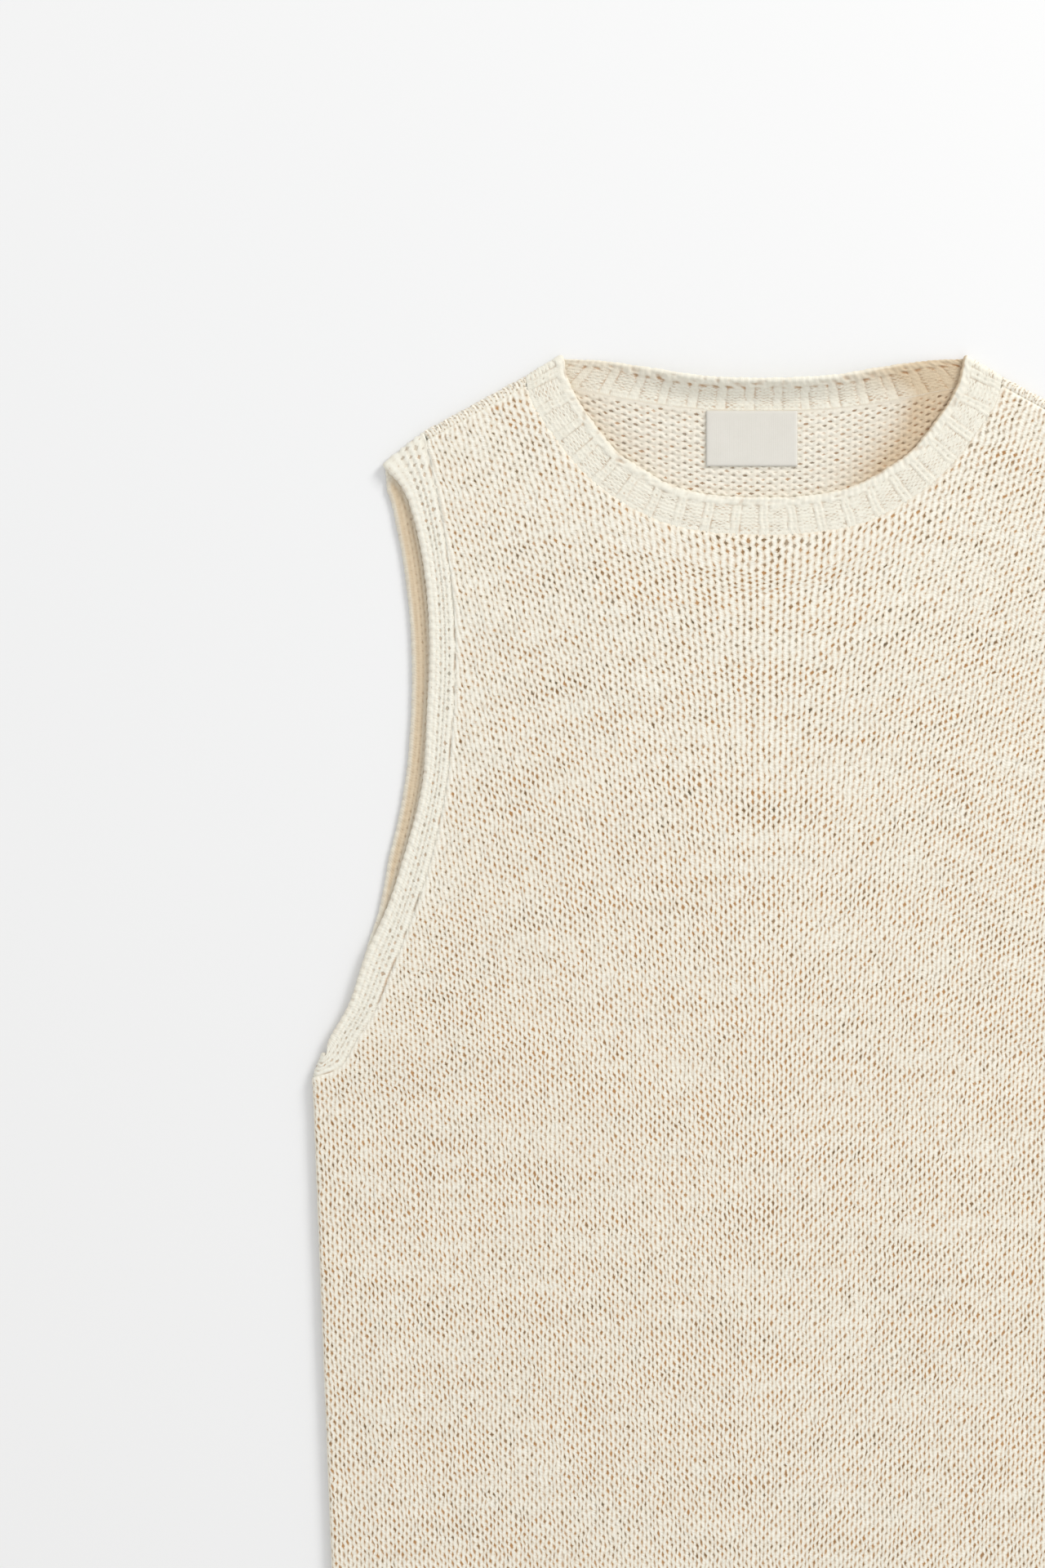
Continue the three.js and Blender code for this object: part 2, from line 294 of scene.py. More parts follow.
# the shoulder fold: tip, armhole seam, neck seam, neck point
foldCorners = np.array([
    (armhole["edgeX"][0], armhole["edgeY"][0]), (armhole["seamX"][0], armhole["seamY"][0]),
    (frontNeck["seamX"][-1], frontNeck["seamY"][-1]), (frontNeck["edgeX"][-1], frontNeck["edgeY"][-1])])
spread = np.vstack([foldCorners[1] - foldCorners[0], foldCorners[2:] - foldCorners[:-2],
                    foldCorners[3] - foldCorners[2]])
foldWays = unit(np.column_stack([spread[:, 1], -spread[:, 0]]))
foldStarts = foldCorners - foldWays * foldInset
underarmWays = unit(np.array([(0.92, 0.38), (1, 0)]))  # at the band's edge, at its seam


def seamLine(rows, name, first=None, last=None):
    points = np.column_stack([rows[name + "X"], rows[name + "Y"]])
    if first is not None:
        points[0] = first
    if last is not None:
        points[-1] = last
    return lambda places: splinePoints(points, places)


def lastPoint(name):
    return np.array([armhole[name + "X"][-1], armhole[name + "Y"][-1]])


underarmStarts = np.array([lastPoint("edge"), lastPoint("seam")]) - underarmWays * foldInset
armEdge = seamLine(armhole, "edge", foldStarts[0], underarmStarts[0])
armSeam = seamLine(armhole, "seam", foldStarts[1], underarmStarts[1])
neckFrontEdge = seamLine(frontNeck, "edge", last=foldStarts[3])
neckFrontSeam = seamLine(frontNeck, "seam", last=foldStarts[2])
neckBackEdge = seamLine(backNeck, "edge", last=foldStarts[3])
neckBackSeam = seamLine(backNeck, "seam", last=foldStarts[2])


def backOut(places):
    rows = len(armhole["backOut"])
    out = np.interp(places, np.linspace(0, 1, rows), armhole["backOut"])
    return np.column_stack([out, np.zeros_like(out)])


def panelSide(edge, seam):
    return seam + unit(seam - edge) * cut["seamGap"] / 2


def bandSide(edge, seam):
    return seam - unit(seam - edge) * cut["seamGap"] / 2


def sideX(y):
    share = (y - cut["hemY"]) / (cut["underarmY"] - cut["hemY"])
    return mixed(cut["hemHalfWidth"], cut["sideHalfWidth"], share)


sideUnrolled = (sideRadius + half) * math.pi / 2 - sideInset  # what the rounded side adds, laid flat
lapLength = cut["shoulderLap"] - foldInset  # the lap past the fold's bend, on top


def lapEnd(line, fromStart):
    # the place on a seam where the lap ends, short of the shoulder fold
    steps = np.linspace(0, 1, 2001)
    along = lengthAlong(line(steps))
    return float(np.interp(lapLength if fromStart else along[-1] - lapLength, along, steps))


lapPlace = {"arm": lapEnd(armSeam, True), "neck": lapEnd(neckFrontSeam, False)}


def frontArmSide(places):
    return panelSide(armEdge(places), armSeam(places))


def frontNeckSide(places):
    return panelSide(neckFrontEdge(places), neckFrontSeam(places))


# the shoulder seam's two ends
seamEnds = np.vstack([frontArmSide([lapPlace["arm"]]), frontNeckSide([lapPlace["neck"]])])
seamWays = foldWays[1:3]


def wholeOutline(right):
    # a closed outline from its right half, which runs from the middle of the hem up to the neck
    left = right[::-1] * (-1, 1)
    return np.vstack([right, left[1:] if abs(right[-1, 0]) < 1e-6 else left])[:-1]


def panelOutline(shoulder, armSide, neckSide):
    low, high = cut["hemY"], cut["underarmY"]
    sides = [(0, low)] + [(sideX(y) + sideUnrolled, y) for y in (low, high)]
    return wholeOutline(np.vstack([sides, armSide, shoulder, neckSide]))


print("cut is drawn")

# cloth helpers


def insideOf(points, start, step):
    # whether each point lies inside the closed line made by these edges
    y = points[:, None, 1] - start[:, 1]
    over = (y < 0) != (y < step[:, 1])
    with np.errstate(divide="ignore", invalid="ignore"):
        crossing = start[:, 0] + y / step[:, 1] * step[:, 0]
    return (over & (points[:, None, 0] < crossing)).sum(1) % 2 == 1


def signedDistance(points, outline):
    # distance to a closed outline, above 0 inside it, and the nearest place on it
    start, step = outline, np.roll(outline, -1, axis=0) - outline
    distance, nearest = [], []
    for some in np.array_split(points, max(1, len(points) // 4000)):
        away = some[:, None] - start
        t = np.clip((away * step).sum(2) / (step ** 2).sum(1), 0, 1)
        gap = away - t[:, :, None] * step
        size = np.hypot(gap[:, :, 0], gap[:, :, 1])
        best = size.argmin(1)
        row = np.arange(len(some))
        distance.append(np.where(insideOf(some, start, step), 1, -1) * size[row, best])
        nearest.append(some - gap[row, best])
    return np.concatenate(distance), np.concatenate(nearest)


def facePairs(face):
    # the sides of a face, each from a corner to the next
    return zip(face, face[1:] + face[:1])


def ordered(a, b):
    return (min(a, b), max(a, b))


def clipCells(rows, cells, outline, snap):
    # keeps what lies inside the outline; a row holds a corner's place and all that varies with it
    distance, nearest = signedDistance(rows[:, :2], outline)
    close = np.abs(distance) < snap
    rows[close, :2] = nearest[close]
    distance[close] = 0
    signs = np.sign(distance)[cells]
    kept = (signs >= 0).all(1) & (signs > 0).any(1)
    faces = [tuple(cell) for cell in cells[kept].tolist()]
    extra, cutAt = [], {}

    def cornerOn(a, b):
        key = ordered(a, b)
        if key not in cutAt:
            share = distance[key[0]] / (distance[key[0]] - distance[key[1]])
            cutAt[key] = len(rows) + len(extra)
            extra.append(mixed(rows[key[0]], rows[key[1]], share))
        return cutAt[key]

    for cell in cells[(signs > 0).any(1) & (signs < 0).any(1)].tolist():
        face = []
        for a, b in facePairs(cell):
            if distance[a] >= 0:
                face.append(a)
            if distance[a] * distance[b] < 0:
                face.append(cornerOn(a, b))
        if len(face) > 2:
            faces.append(tuple(face))
    rows = np.vstack([rows, extra]) if extra else rows
    distance = np.concatenate([distance, np.zeros(len(extra))])
    used = np.unique(np.concatenate([np.array(f) for f in faces]))
    renumber = np.full(len(rows), -1)
    renumber[used] = np.arange(len(used))
    faces = [tuple(int(renumber[i]) for i in face) for face in faces]
    return rows[used], distance[used], faces


def splitCells(rows, distance, faces, chosen):
    # the chosen faces cut into quarters; their neighbours take in the new corners
    corners = np.column_stack([rows, distance])
    extra, middle = [], {}

    def addCorner(values):
        extra.append(values)
        return len(corners) + len(extra) - 1

    fine = []
    for face in (face for face, split in zip(faces, chosen) if split):
        for a, b in facePairs(face):
            if ordered(a, b) not in middle:
                middle[ordered(a, b)] = addCorner((corners[a] + corners[b]) / 2)
        sides = [middle[ordered(a, b)] for a, b in facePairs(face)]
        centre = addCorner(corners[list(face)].mean(0))
        fine += [(corner, sides[i], centre, sides[i - 1]) for i, corner in enumerate(face)]
    for face in (face for face, split in zip(faces, chosen) if not split):
        whole = [[a, middle[ordered(a, b)]] if ordered(a, b) in middle else [a] for a, b in facePairs(face)]
        fine.append(tuple(sum(whole, [])))
    corners = np.vstack([corners, extra])
    return corners[:, :-1], corners[:, -1], fine


def openEdge(faces):
    # the corners round the open edge of a sheet, in order
    ends = {pair for face in faces for pair in facePairs(face)}
    after = dict(sorted((a, b) for a, b in ends if (b, a) not in ends))
    loop = [min(after)]
    while after[loop[-1]] != loop[0]:
        loop.append(after[loop[-1]])
    if len(loop) != len(after):
        raise ValueError(f"the sheet has {len(after) - len(loop)} stray open edges")
    return loop


def gridCells(number):
    # the cells of a grid whose corners have these numbers
    corners = [number[:-1, :-1], number[1:, :-1], number[1:, 1:], number[:-1, 1:]]
    return np.stack(corners, -1).reshape(-1, 4)


def stitchLattice(wales, courses, perWale, perCourse, slant):
    # corners of a knit: (wale, course, leg, phase). Legs climb slant courses in half a wale, and
    # phase is 0 in the hollow between two legs and a half on a leg's ridge.
    columns = np.arange(wales[0] * perWale, wales[1] * perWale + 1)
    rows = np.arange(courses[0] * perCourse, courses[1] * perCourse + 1)
    column, row = np.meshgrid(columns, rows, indexing="ij")
    leg = np.abs((column / perWale + 0.5) % 1 - 0.5) * 2
    corner = np.stack([column / perWale, row / perCourse + leg * slant, leg, row / perCourse % 1], -1)
    number = np.arange(column.size).reshape(column.shape)
    return corner.reshape(-1, 4), gridCells(number)


def legHeight(leg, phase, relief):
    meeting = np.cos(leg * math.pi) ** 2  # 1 where two legs meet, 0 halfway along a leg
    low = -mixed(relief["groove"], relief["hole"], meeting)
    high = mixed(relief["ridge"], relief["crossing"], meeting)
    return mixed(low, high, 0.5 - 0.5 * np.cos(phase * full))


softGrid = 64
stitchGrid = 256


def softNoise(x, y, seed):
    # smooth random values, about -1 to 1, that vary over a distance of 1
    grid = np.random.default_rng(seed).uniform(-1, 1, (softGrid, softGrid))
    i, j = np.floor(x).astype(int), np.floor(y).astype(int)
    s, t = blend(x - i, 0, 1), blend(y - j, 0, 1)

    def row(b):
        first, second = (grid[(i + a) % softGrid, (j + b) % softGrid] for a in (0, 1))
        return mixed(first, second, s)

    return mixed(row(0), row(1), t)


def lineNoise(x, seed):
    return softNoise(x, x * 0, seed)


def stitchNoise(u, v, seed):
    # one random value for each half wale and half course
    grid = np.random.default_rng(seed).uniform(-1, 1, (stitchGrid, stitchGrid))
    return grid[tuple(np.round(c * 2).astype(int) % stitchGrid for c in (u, v))]


def clothPiece(name, points, faces, values, materials, which=None, around=None):
    # a mesh from points in millimetres. values are stitch place (2), how far its pattern opens, how
    # dark and how warm the openings' painted shade is, the painted warm shade under other cloth, and open
    # pits.
    # around says which way a ring closes, and after how many stitches
    mesh = bpy.data.meshes.new(name)
    mesh.from_pydata((points * mm).tolist(), [], faces)
    mesh.polygons.foreach_set("use_smooth", [True] * len(faces))
    corners = np.empty(len(mesh.loops), int)
    mesh.loops.foreach_get("vertex_index", corners)
    places = values[corners, :2].astype(np.float32)
    if around:
        ring = places[:, around[0]].reshape(-1, 4)
        ring[(np.ptp(ring, axis=1) > around[1] / 2)[:, None] & (ring < around[1] / 2)] += around[1]
        places[:, around[0]] = ring.ravel()
    mesh.uv_layers.new(name="stitch").data.foreach_set("uv", places.ravel())
    for column, title in enumerate(("hollow", "darkness", "tint", "warmth", "pit"), 2):
        layer = mesh.attributes.new(title, "FLOAT", "POINT")
        layer.data.foreach_set("value", values[:, column].astype(np.float32))
    for material in materials:
        mesh.materials.append(material)
    if which is not None:
        mesh.polygons.foreach_set("material_index", which)
    mesh.update()
    piece = bpy.data.objects.new(name, mesh)
    bpy.context.scene.collection.objects.link(piece)
    print(f"{name}: {sum(len(face) - 2 for face in faces)} triangles")
    return piece


def settle(piece, node):
    # the piece stands for its CAD node, as cloth cut to that size
    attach(piece, "root")
    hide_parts(node)


def closeShell(rows, faces, height, inner, wrap):
    # the outer face, a rim round it and an inner face. rows and inner hold a corner's plan, then
    # its values; inner has its own height before them.
    edge = openEdge(faces)
    below = np.vstack([np.insert(rows[edge], 2, 0, axis=1), inner])
    points = np.vstack([wrap(rows[:, :2], height), wrap(below[:, :2], below[:, 2] - cut["wall"])])
    values = np.vstack([rows[:, 2:], below[:, 3:]])
    count = len(edge)
    first = len(rows)
    shell = list(faces)
    shell += [(edge[i], first + i, first + (i + 1) % count, edge[(i + 1) % count]) for i in range(count)]
    plan = [Vector(p) for p in below[:, :2].tolist()]
    made = delaunay_2d_cdt(plan, [], [list(range(count))], 1, 1e-5, True)
    number = [first + ids[0] for ids in made[3]]
    shell += [(number[a], number[c], number[b]) for (a, b, c), ids in zip(made[2], made[5]) if ids]
    which = np.zeros(len(shell), int)
    which[len(faces) + count:] = 1
    return points, shell, values, which


# yarn

yarn = {
    "light": color(250, 248, 238), "body": color(242, 238, 224), "shade": color(228, 218, 202),
    "tones": (0.2, 0.5, 0.8),  # where the shade, the body and the light colour come
    # painted shade in the openings, grey or warm, and in a warm ring round them
    "holeShadeGrey": color(112, 99, 77), "holeShadeWarm": color(186, 140, 92), "holeRimShade": color(216, 188, 150),
    "roughness": 0.88, "sheen": 0.2, "sheenRoughness": 0.5, "gloss": 0.25,
    "hollowFrom": 0.05, "hollowTo": 0.95, "hollowSpread": 1.25, "holeRimShadeSize": 5.0, "holeRimShadeShare": 0.6,
    "hole": (0.13, 0.34), "dot": (0.2, 0.3), "purl": (0.3, 0.22), "dash": (0.5, 0.28),
    # the warm colour is painted shade, multiplied in where other cloth lies over a piece or shadows it
    "lean": 0.16, "leanOver": 0.03, "wander": 0.34, "paintedShadeColor": (0.77, 0.65, 0.525),
    "streak": {"detail": 2.0, "roughness": 0.6, "stretch": (0.06, 1.7, 1)},
    "fleck": {"detail": 3.0, "roughness": 0.7, "stretch": (2.1, 1.3, 1)}, "flecks": 0.42,
    "fuzz": {"detail": 4.0, "roughness": 0.65, "scale": 7.0},
    "turns": (3, 4), "twist": 0.25, "sunk": 1.2, "bump": 0.45, "bumpDepth": 0.3,
}


def stitchRing(pattern, across, along):
    # how far a place is from the nearest opening: 0 in its middle and 1 at its edge. The panels'
    # openings lean outwards at the top, more the further they are from the middle of the piece
    wide, high = yarn[pattern]
    lean = 0
    if pattern == "hole":
        lean = (across * yarn["leanOver"]).math("MINIMUM", yarn["lean"]).math("MAXIMUM", -yarn["lean"])
    if pattern == "dash":
        along = along * 2

    def diamond(*place):
        x, y = ((way + 0.5).math("FRACT") - 0.5 for way in place)
        away = (x - y * lean).math("ABSOLUTE") * (1 / wide) + y.math("ABSOLUTE") * (1 / high)
        return away * away

    return diamond(across, along).math("MINIMUM", diamond(across + 0.5, along + 0.5))


def knitFinish(name, pattern, slant, tone=(1, 1, 1), streaks=0.36, paintedStrandShade=0):
    make = Finish(name, Roughness=yarn["roughness"], Sheen_Weight=yarn["sheen"],
                  Sheen_Roughness=yarn["sheenRoughness"], Specular_IOR_Level=yarn["gloss"])
    place = make.node("UVMap", {"uv_map": "stitch"})
    across = make.node("SeparateXYZ", inputs={0: place})
    along = across.out(1)
    streak, fleck, fuzz = (make.flatNoise(place, **yarn[kind]) for kind in ("streak", "fleck", "fuzz"))
    pale = (streak - 0.5) * streaks + (fleck - 0.5) * yarn["flecks"] + 0.5
    # painted shade in the grooves between the strands and painted light on the strands
    pale = pale - (across * (full * 2)).math("COSINE") * paintedStrandShade
    stops = list(zip(yarn["tones"], (yarn["shade"], yarn["body"], yarn["light"])))
    surface = make.node("ValToRGB", {"stops": stops}, {"Fac": pale})

    hollow, darkness = make.attribute("hollow"), make.attribute("darkness")
    moved = make.node("SeparateXYZ", inputs={0: fleck.out(1)})
    astray = [(moved.out(i) - 0.5) * yarn["wander"] for i in (0, 1)]
    ring = stitchRing(pattern, across + astray[0], along + astray[1])
    # painted warm shade in a ring round each opening
    if pattern == "hole":
        nearHoleShade = (1 - ring * (1 / yarn["holeRimShadeSize"])).math("MAXIMUM", 0) * hollow.math("MINIMUM", 1)
        surface = make.mix(nearHoleShade * darkness * yarn["holeRimShadeShare"], surface, yarn["holeRimShade"])
    opening = make.attribute("pit").math("MAXIMUM", hollow * yarn["hollowSpread"] - ring)
    limits = {"Value": opening, "From Min": yarn["hollowFrom"], "From Max": yarn["hollowTo"]}
    opening = make.node("MapRange", {"interpolation_type": "SMOOTHSTEP"}, limits)
    # painted shade in the openings, grey or warm by the tint attribute, as dark as darkness says
    deep = make.mix(make.attribute("tint"), yarn["holeShadeGrey"], yarn["holeShadeWarm"])
    surface = make.mix(opening * darkness, surface, deep)
    surface = make.mix(1.0, surface, tone, "MULTIPLY")
    # painted warm shade, where other cloth lies over this piece or shadows it
    surface = make.mix(make.attribute("warmth"), surface, yarn["paintedShadeColor"], "MULTIPLY")

    leg = ((across + 0.5).math("FRACT") - 0.5).math("ABSOLUTE") * 2
    perCourse, perLeg = yarn["turns"]
    twist = ((along - leg * slant) * perCourse + leg * perLeg) * full
    height = twist.math("SINE") * yarn["twist"] + fuzz - opening * yarn["sunk"]
    return make.finish(Base_Color=surface, Normal=make.bump(yarn["bump"], yarn["bumpDepth"], height))


knitYarn = knitFinish("cottonKnit", "hole", slant=1.5, paintedStrandShade=0.16)
purlYarn = knitFinish("cottonPurl", "purl", slant=0.5, tone=(0.945, 0.93, 0.92))
ribYarn = knitFinish("cottonRib", "dash", slant=0.6, tone=(0.957, 0.96, 0.955), streaks=0.15)
armTone = (0.95, 0.955, 0.955)
armYarn = knitFinish("cottonArmband", "dot", slant=1.2, tone=armTone, streaks=0.15, paintedStrandShade=0.1)

# both panels

knit = {
    # 52 wales from the middle to the side
    "wale": (cut["sideHalfWidth"] + sideUnrolled) / 52, "course": 4.29, "slant": 0.5,
    "wales": 54, "courses": (-3, 160), "snap": 0.22, "astray": (0.7, 0.8),
    "relief": {"hole": 0.85, "groove": -0.13, "ridge": 0.25, "crossing": -0.04},
    "spread": 35.6, "spreadWidth": 61.3, "spreadFrom": -75.2, "spreadOver": 286.1, "droopTop": 88,
    "droop": 23, "droopFrom": 61, "droopTo": 196,
    "sagWidth": 65, "sagRows": (129, 211, 231), "sagDepths": (0, 12, 20),
    "rib": 23, "ribHalf": 1.5, "ribRise": 0.42, "ribRelief": 0.6, "ribSize": 0.4,
    "edgeDrop": 0.33, "edgeReach": 1.3, "frontLapDrop": 0.6, "backLapDrop": 1.0, "lapOver": (2, 5),
    "plainAtNeck": 1.2, "plainAtArm": 3.0, "armFrom": 108, "armTo": 125, "calm": 0.2, "calmOver": (0.5, 4),
    # each of these is its middle, and how much it varies by stitch and by patch
    "uneven": (1, 0.3, 0.12), "darkness": (0.62, 0.38, 0.28, (9, 1)), "tint": (0.64, 0.6, 0.4),
    "size": (1.05, 0.4, 0.12, (5, 4)), "pit": (0.75, 0.4),
    "rowSize": 0.12, "darker": 0.12, "leastDark": 0.06,
    # what the lower part of a panel has less or more of
    "lowTo": -40, "lowFrom": 230, "lowRelief": -0.25, "lowDark": 0.16, "lowTint": 0.26, "lowSize": 0.1,
    "lowWarmth": 0.04, "rim": 0.25, "rimWidth": 1.5,
    "tight": 0.3, "tightX": (105, 130), "tightY": (-60, -20), "tightDeep": (3, 30),
    # painted shade on the panel along the neck seam, which dims its lit edge
    "neckSeamShade": 0.3, "neckWithin": (124, 150), "neckDeep": (0.5, 1.7),
    "looseAt": (121, 281), "looseSize": (11, 18), "loose": 0.5, "linkAt": 2.4, "linkHalf": 0.95,
    "innerStep": 26, "innerInset": 6,
}


def varied(u, v, seed, middle, byStitch, byPatch=0, patch=(5, 2)):
    soft = softNoise(u / patch[0], v / patch[1], seed + 1)
    return middle + byStitch * stitchNoise(u, v, seed) + byPatch * soft


def stitchToPlan(u, v):
    # where a stitch lies on the panel laid flat: wales fan out towards the shoulders, and courses
    # droop at the sides and sag under the neck
    x = u * knit["wale"]
    y = cut["hemY"] + v * knit["course"]
    fan = knit["spread"] * (np.maximum(y - knit["spreadFrom"], 0) / knit["spreadOver"]) ** 2
    wide = x + fan * np.tanh(x / knit["spreadWidth"])
    below = np.minimum(y, cut["underarmY"])
    wide = wide * (sideX(below) + sideUnrolled) / (cut["sideHalfWidth"] + sideUnrolled)
    droop = knit["droop"] * blend(np.abs(wide), knit["droopFrom"], knit["droopTo"])
    droop = droop * blend(y, knit["spreadFrom"], knit["droopTop"])
    sag = np.interp(y, knit["sagRows"], knit["sagDepths"]) * bell(wide, knit["sagWidth"])
    return np.column_stack([wide, y - droop - sag])


def shoulderGap(plan):
    # distance to the shoulder seam on the front panel
    along = seamEnds[1] - seamEnds[0]
    away = np.column_stack([np.abs(plan[:, 0]), plan[:, 1]]) - seamEnds[0]
    share = np.clip(away @ along / (along @ along), 0, 1)[:, None]
    return np.linalg.norm(away - share * along, axis=1)


def knitValues(rows, distance, shoulder, drop, folds, seed):
    # relief height, and a row of values for the finish, at each corner of a clipped lattice
    u, v, leg, phase = rows[:, 2:].T
    side, y = np.abs(rows[:, 0]), rows[:, 1]
    low = 1 - blend(y, knit["lowTo"], knit["lowFrom"])
    rib = 1 - blend(v * knit["course"], knit["rib"] - knit["ribHalf"], knit["rib"] + knit["ribHalf"])
    plain = mixed(knit["plainAtNeck"], knit["plainAtArm"], blend(side, knit["armFrom"], knit["armTo"]))
    atSeam = blend(distance, plain * 0.3, plain)

    height = legHeight(leg, phase, knit["relief"]) * varied(u, v, seed, *knit["uneven"])
    height *= mixed(knit["calm"], 1, np.minimum(atSeam, blend(distance, *knit["calmOver"])))
    height *= 1 + knit["lowRelief"] * low
    height = mixed(height, height * knit["ribRelief"] + knit["ribRise"] * np.cos(math.pi * u), rib)
    edgeDrop = mixed(knit["edgeDrop"], drop, 1 - blend(shoulder, *knit["lapOver"]))
    height -= edgeDrop * (1 - blend(distance, 0, knit["edgeReach"]))
    height += softFolds(rows[:, 0], y, folds)

    # how dark and how warm the painted shade in the openings is
    darkness = np.clip(varied(u, v, seed + 2, *knit["darkness"]), knit["leastDark"], 1)
    darkness = np.clip(darkness + knit["darker"] + knit["lowDark"] * low, 0, 1)
    tint = np.clip(varied(u, v, seed + 4, *knit["tint"]) + knit["lowTint"] * low, 0, 1)
    size = varied(u, v, seed + 6, *knit["size"]) + knit["lowSize"] * low
    size += knit["rowSize"] * softNoise(u / 9, v, seed + 3)
    besideArm = blend(side, *knit["tightX"]) * blend(y, *knit["tightY"])
    besideArm *= 1 - blend(distance, *knit["tightDeep"])
    size *= atSeam * (1 - (1 - knit["ribSize"]) * rib) * (1 - knit["tight"] * besideArm)
    size += knit["rim"] * bell(distance - plain - 1, knit["rimWidth"])
    fromLoose = (np.abs(rows[:, :2]) - knit["looseAt"]) / knit["looseSize"]
    size += knit["loose"] * bell(np.linalg.norm(fromLoose, axis=1), 1) * (y > 0) * atSeam
    linked = (np.abs(shoulder - knit["linkAt"]) < knit["linkHalf"]) & (np.abs(u * 2 % 1 - 0.5) > 0.4)
    pit = linked * np.clip(varied(u, v, seed + 8, *knit["pit"]), 0, 1)
    atNeck = (side < knit["neckWithin"][0]) & (y > knit["neckWithin"][1])
    atNeck = atNeck * (1 - blend(distance, *knit["neckDeep"]))
    # painted warm shade along the neck seam, and a little warmer and darker towards the bottom
    warmth = knit["lowWarmth"] * low + knit["neckSeamShade"] * atNeck
    return height, np.column_stack([rows[:, :4], size, darkness, tint, warmth, pit])


def withNothing(points):
    # points of an inner face with a height and seven values that are all 0
    return np.column_stack([points, np.zeros((len(points), 8))])


def innerPoints(outline, step, inset):
    low, high = outline.min(0), outline.max(0)
    x, y = np.meshgrid(np.arange(low[0], high[0], step), np.arange(low[1], high[1], step))
    points = np.column_stack([x.ravel(), y.ravel()])
    return withNothing(points[signedDistance(points, outline)[0] > inset])


def softFolds(x, y, folds):
    # soft ridges and troughs, from a table of their middles, ways, sizes and bows
    total = np.zeros(len(x))
    for midX, midY, way, length, width, height, bow in zip(*folds.values()):
        way = math.radians(way)
        along = (x - midX) * math.cos(way) + (y - midY) * math.sin(way)
        across = (y - midY) * math.cos(way) - (x - midX) * math.sin(way) - bow * (along / length) ** 2
        total += height * bell(along, length) * bell(across, width)
    return total


def knitPanel(outline, perWale):
    # the clipped lattice of a panel and its cells
    wales = (-knit["wales"], knit["wales"])
    corner, cells = stitchLattice(wales, knit["courses"], perWale, 2, knit["slant"])
    u, v = corner[:, 0], corner[:, 1]
    astray = np.column_stack([softNoise(u * 1.1, v * 1.1, seed) for seed in (3, 4)]) * knit["astray"]
    rows = np.column_stack([stitchToPlan(u, v) + astray, corner])
    return clipCells(rows, cells, outline, knit["snap"])


# front panel


def wrapSide(plan, out, middle, way):
    # how far out a panel's rounded side brings a place, and how high. Its wall's middle lies at
    # this height, and way is 1 for the front panel and -1 for the back
    x, y = np.abs(plan[:, 0]), plan[:, 1]
    bend = sideX(np.minimum(y, cut["underarmY"])) - sideInset
    turn = np.clip((x - bend) / (sideRadius + half), 0, math.pi / 2)
    radius = sideRadius + half + out
    return np.minimum(x, bend) + radius * np.sin(turn), middle + way * (radius * np.cos(turn) - sideRadius)


def wrapFront(plan, out):
    reach, z = wrapSide(plan, out, frontZ, 1)
    return np.column_stack([np.sign(plan[:, 0]) * reach, plan[:, 1], z])


frontFolds = table("x y way length width height bow", """
    -172 -30 24 42 9 0.9 6
    -168 -52 18 36 8 -0.5 4
    172 -26 155 40 9 0.8 -5
    166 -50 163 34 8 -0.5 -4
    -150 196 -30 34 9 0.5 0
    150 198 208 34 9 0.5 0
    -60 -180 84 90 16 0.5 8
    95 -150 97 80 18 0.45 -8
    -190 -230 88 70 10 0.6 3
""")
backFolds = table("x y way length width height bow", """
    -170 -36 22 44 10 -0.8 6
    172 -30 156 42 10 -0.8 -5
    20 -120 88 110 18 -0.6 9
    -95 120 74 70 14 -0.5 -6
    110 90 104 70 14 -0.5 6
""")


def makeFront():
    shares = np.linspace(0, 1, 8)[:, None]
    shoulder = mixed(*seamEnds, shares) - mixed(*seamWays, shares) * cut["seamGap"] / 2
    armSide = frontArmSide(np.linspace(1, lapPlace["arm"], 90))[:-1]
    neckSide = frontNeckSide(np.linspace(lapPlace["neck"], 0, 50))[1:]
    neckSide[-1, 0] = 0
    outline = panelOutline(shoulder, armSide, neckSide)
    rows, distance, faces = knitPanel(outline, perWale=4)
    gap = shoulderGap(rows[:, :2])
    height, rows = knitValues(rows, distance, gap, knit["frontLapDrop"], frontFolds, 11)
    inner = innerPoints(outline, knit["innerStep"], knit["innerInset"])
    points, shell, values, which = closeShell(rows, faces, height, inner, wrapFront)
    return clothPiece("front_knit", points, shell, values, [knitYarn, purlYarn], which)


settle(makeFront(), "front_panel")

# back panel

purl = {
    "wale": 6.1, "course": 3.6, "slant": 0.5, "rise": 0.0019, "reach": 112, "from": 222,
    "wales": 20, "courses": (-2, 24), "start": 214,
    "inset": 0.6, "riseOver": (1, 3), "openOver": (0.5, 2.5),
    "relief": {"hole": 0.85, "groove": 0.45, "ridge": 0.3, "crossing": 0.05},
    "uneven": (1, 0.25), "darkness": (0.6, 0.3), "tint": (0.55, 0.45), "size": (0.85, 0.25),
    "leastDark": 0.2,
}
foldInward = cut["seamGap"] / 2 / np.linalg.norm(foldCorners[2] - foldCorners[1])
lapStarts = np.array([mixed(foldStarts[1], foldStarts[2], f) for f in (foldInward, 1 - foldInward)])
lapAlong = unit(lapStarts[1] - lapStarts[0])
lapOut = np.array([lapAlong[1], -lapAlong[0]])
foldOver = math.pi * (foldRadius + half)  # the bend's length on its outside
lapTop = lapLength - cut["seamGap"] / 2
lapTongue = 1.0  # how far the lap's top reaches over the front panel's lowered edge
lapKnit = {"finer": 1.5, "course": 1.9, "hollow": 0.8, "darkness": 0.62, "tint": 0.3}


def lapGap(plan):
    # distance to the shoulder seam on the back panel, across its lap
    return foldOver + lapTop - (np.column_stack([np.abs(plan[:, 0]), plan[:, 1]]) - lapStarts[0]) @ lapOut


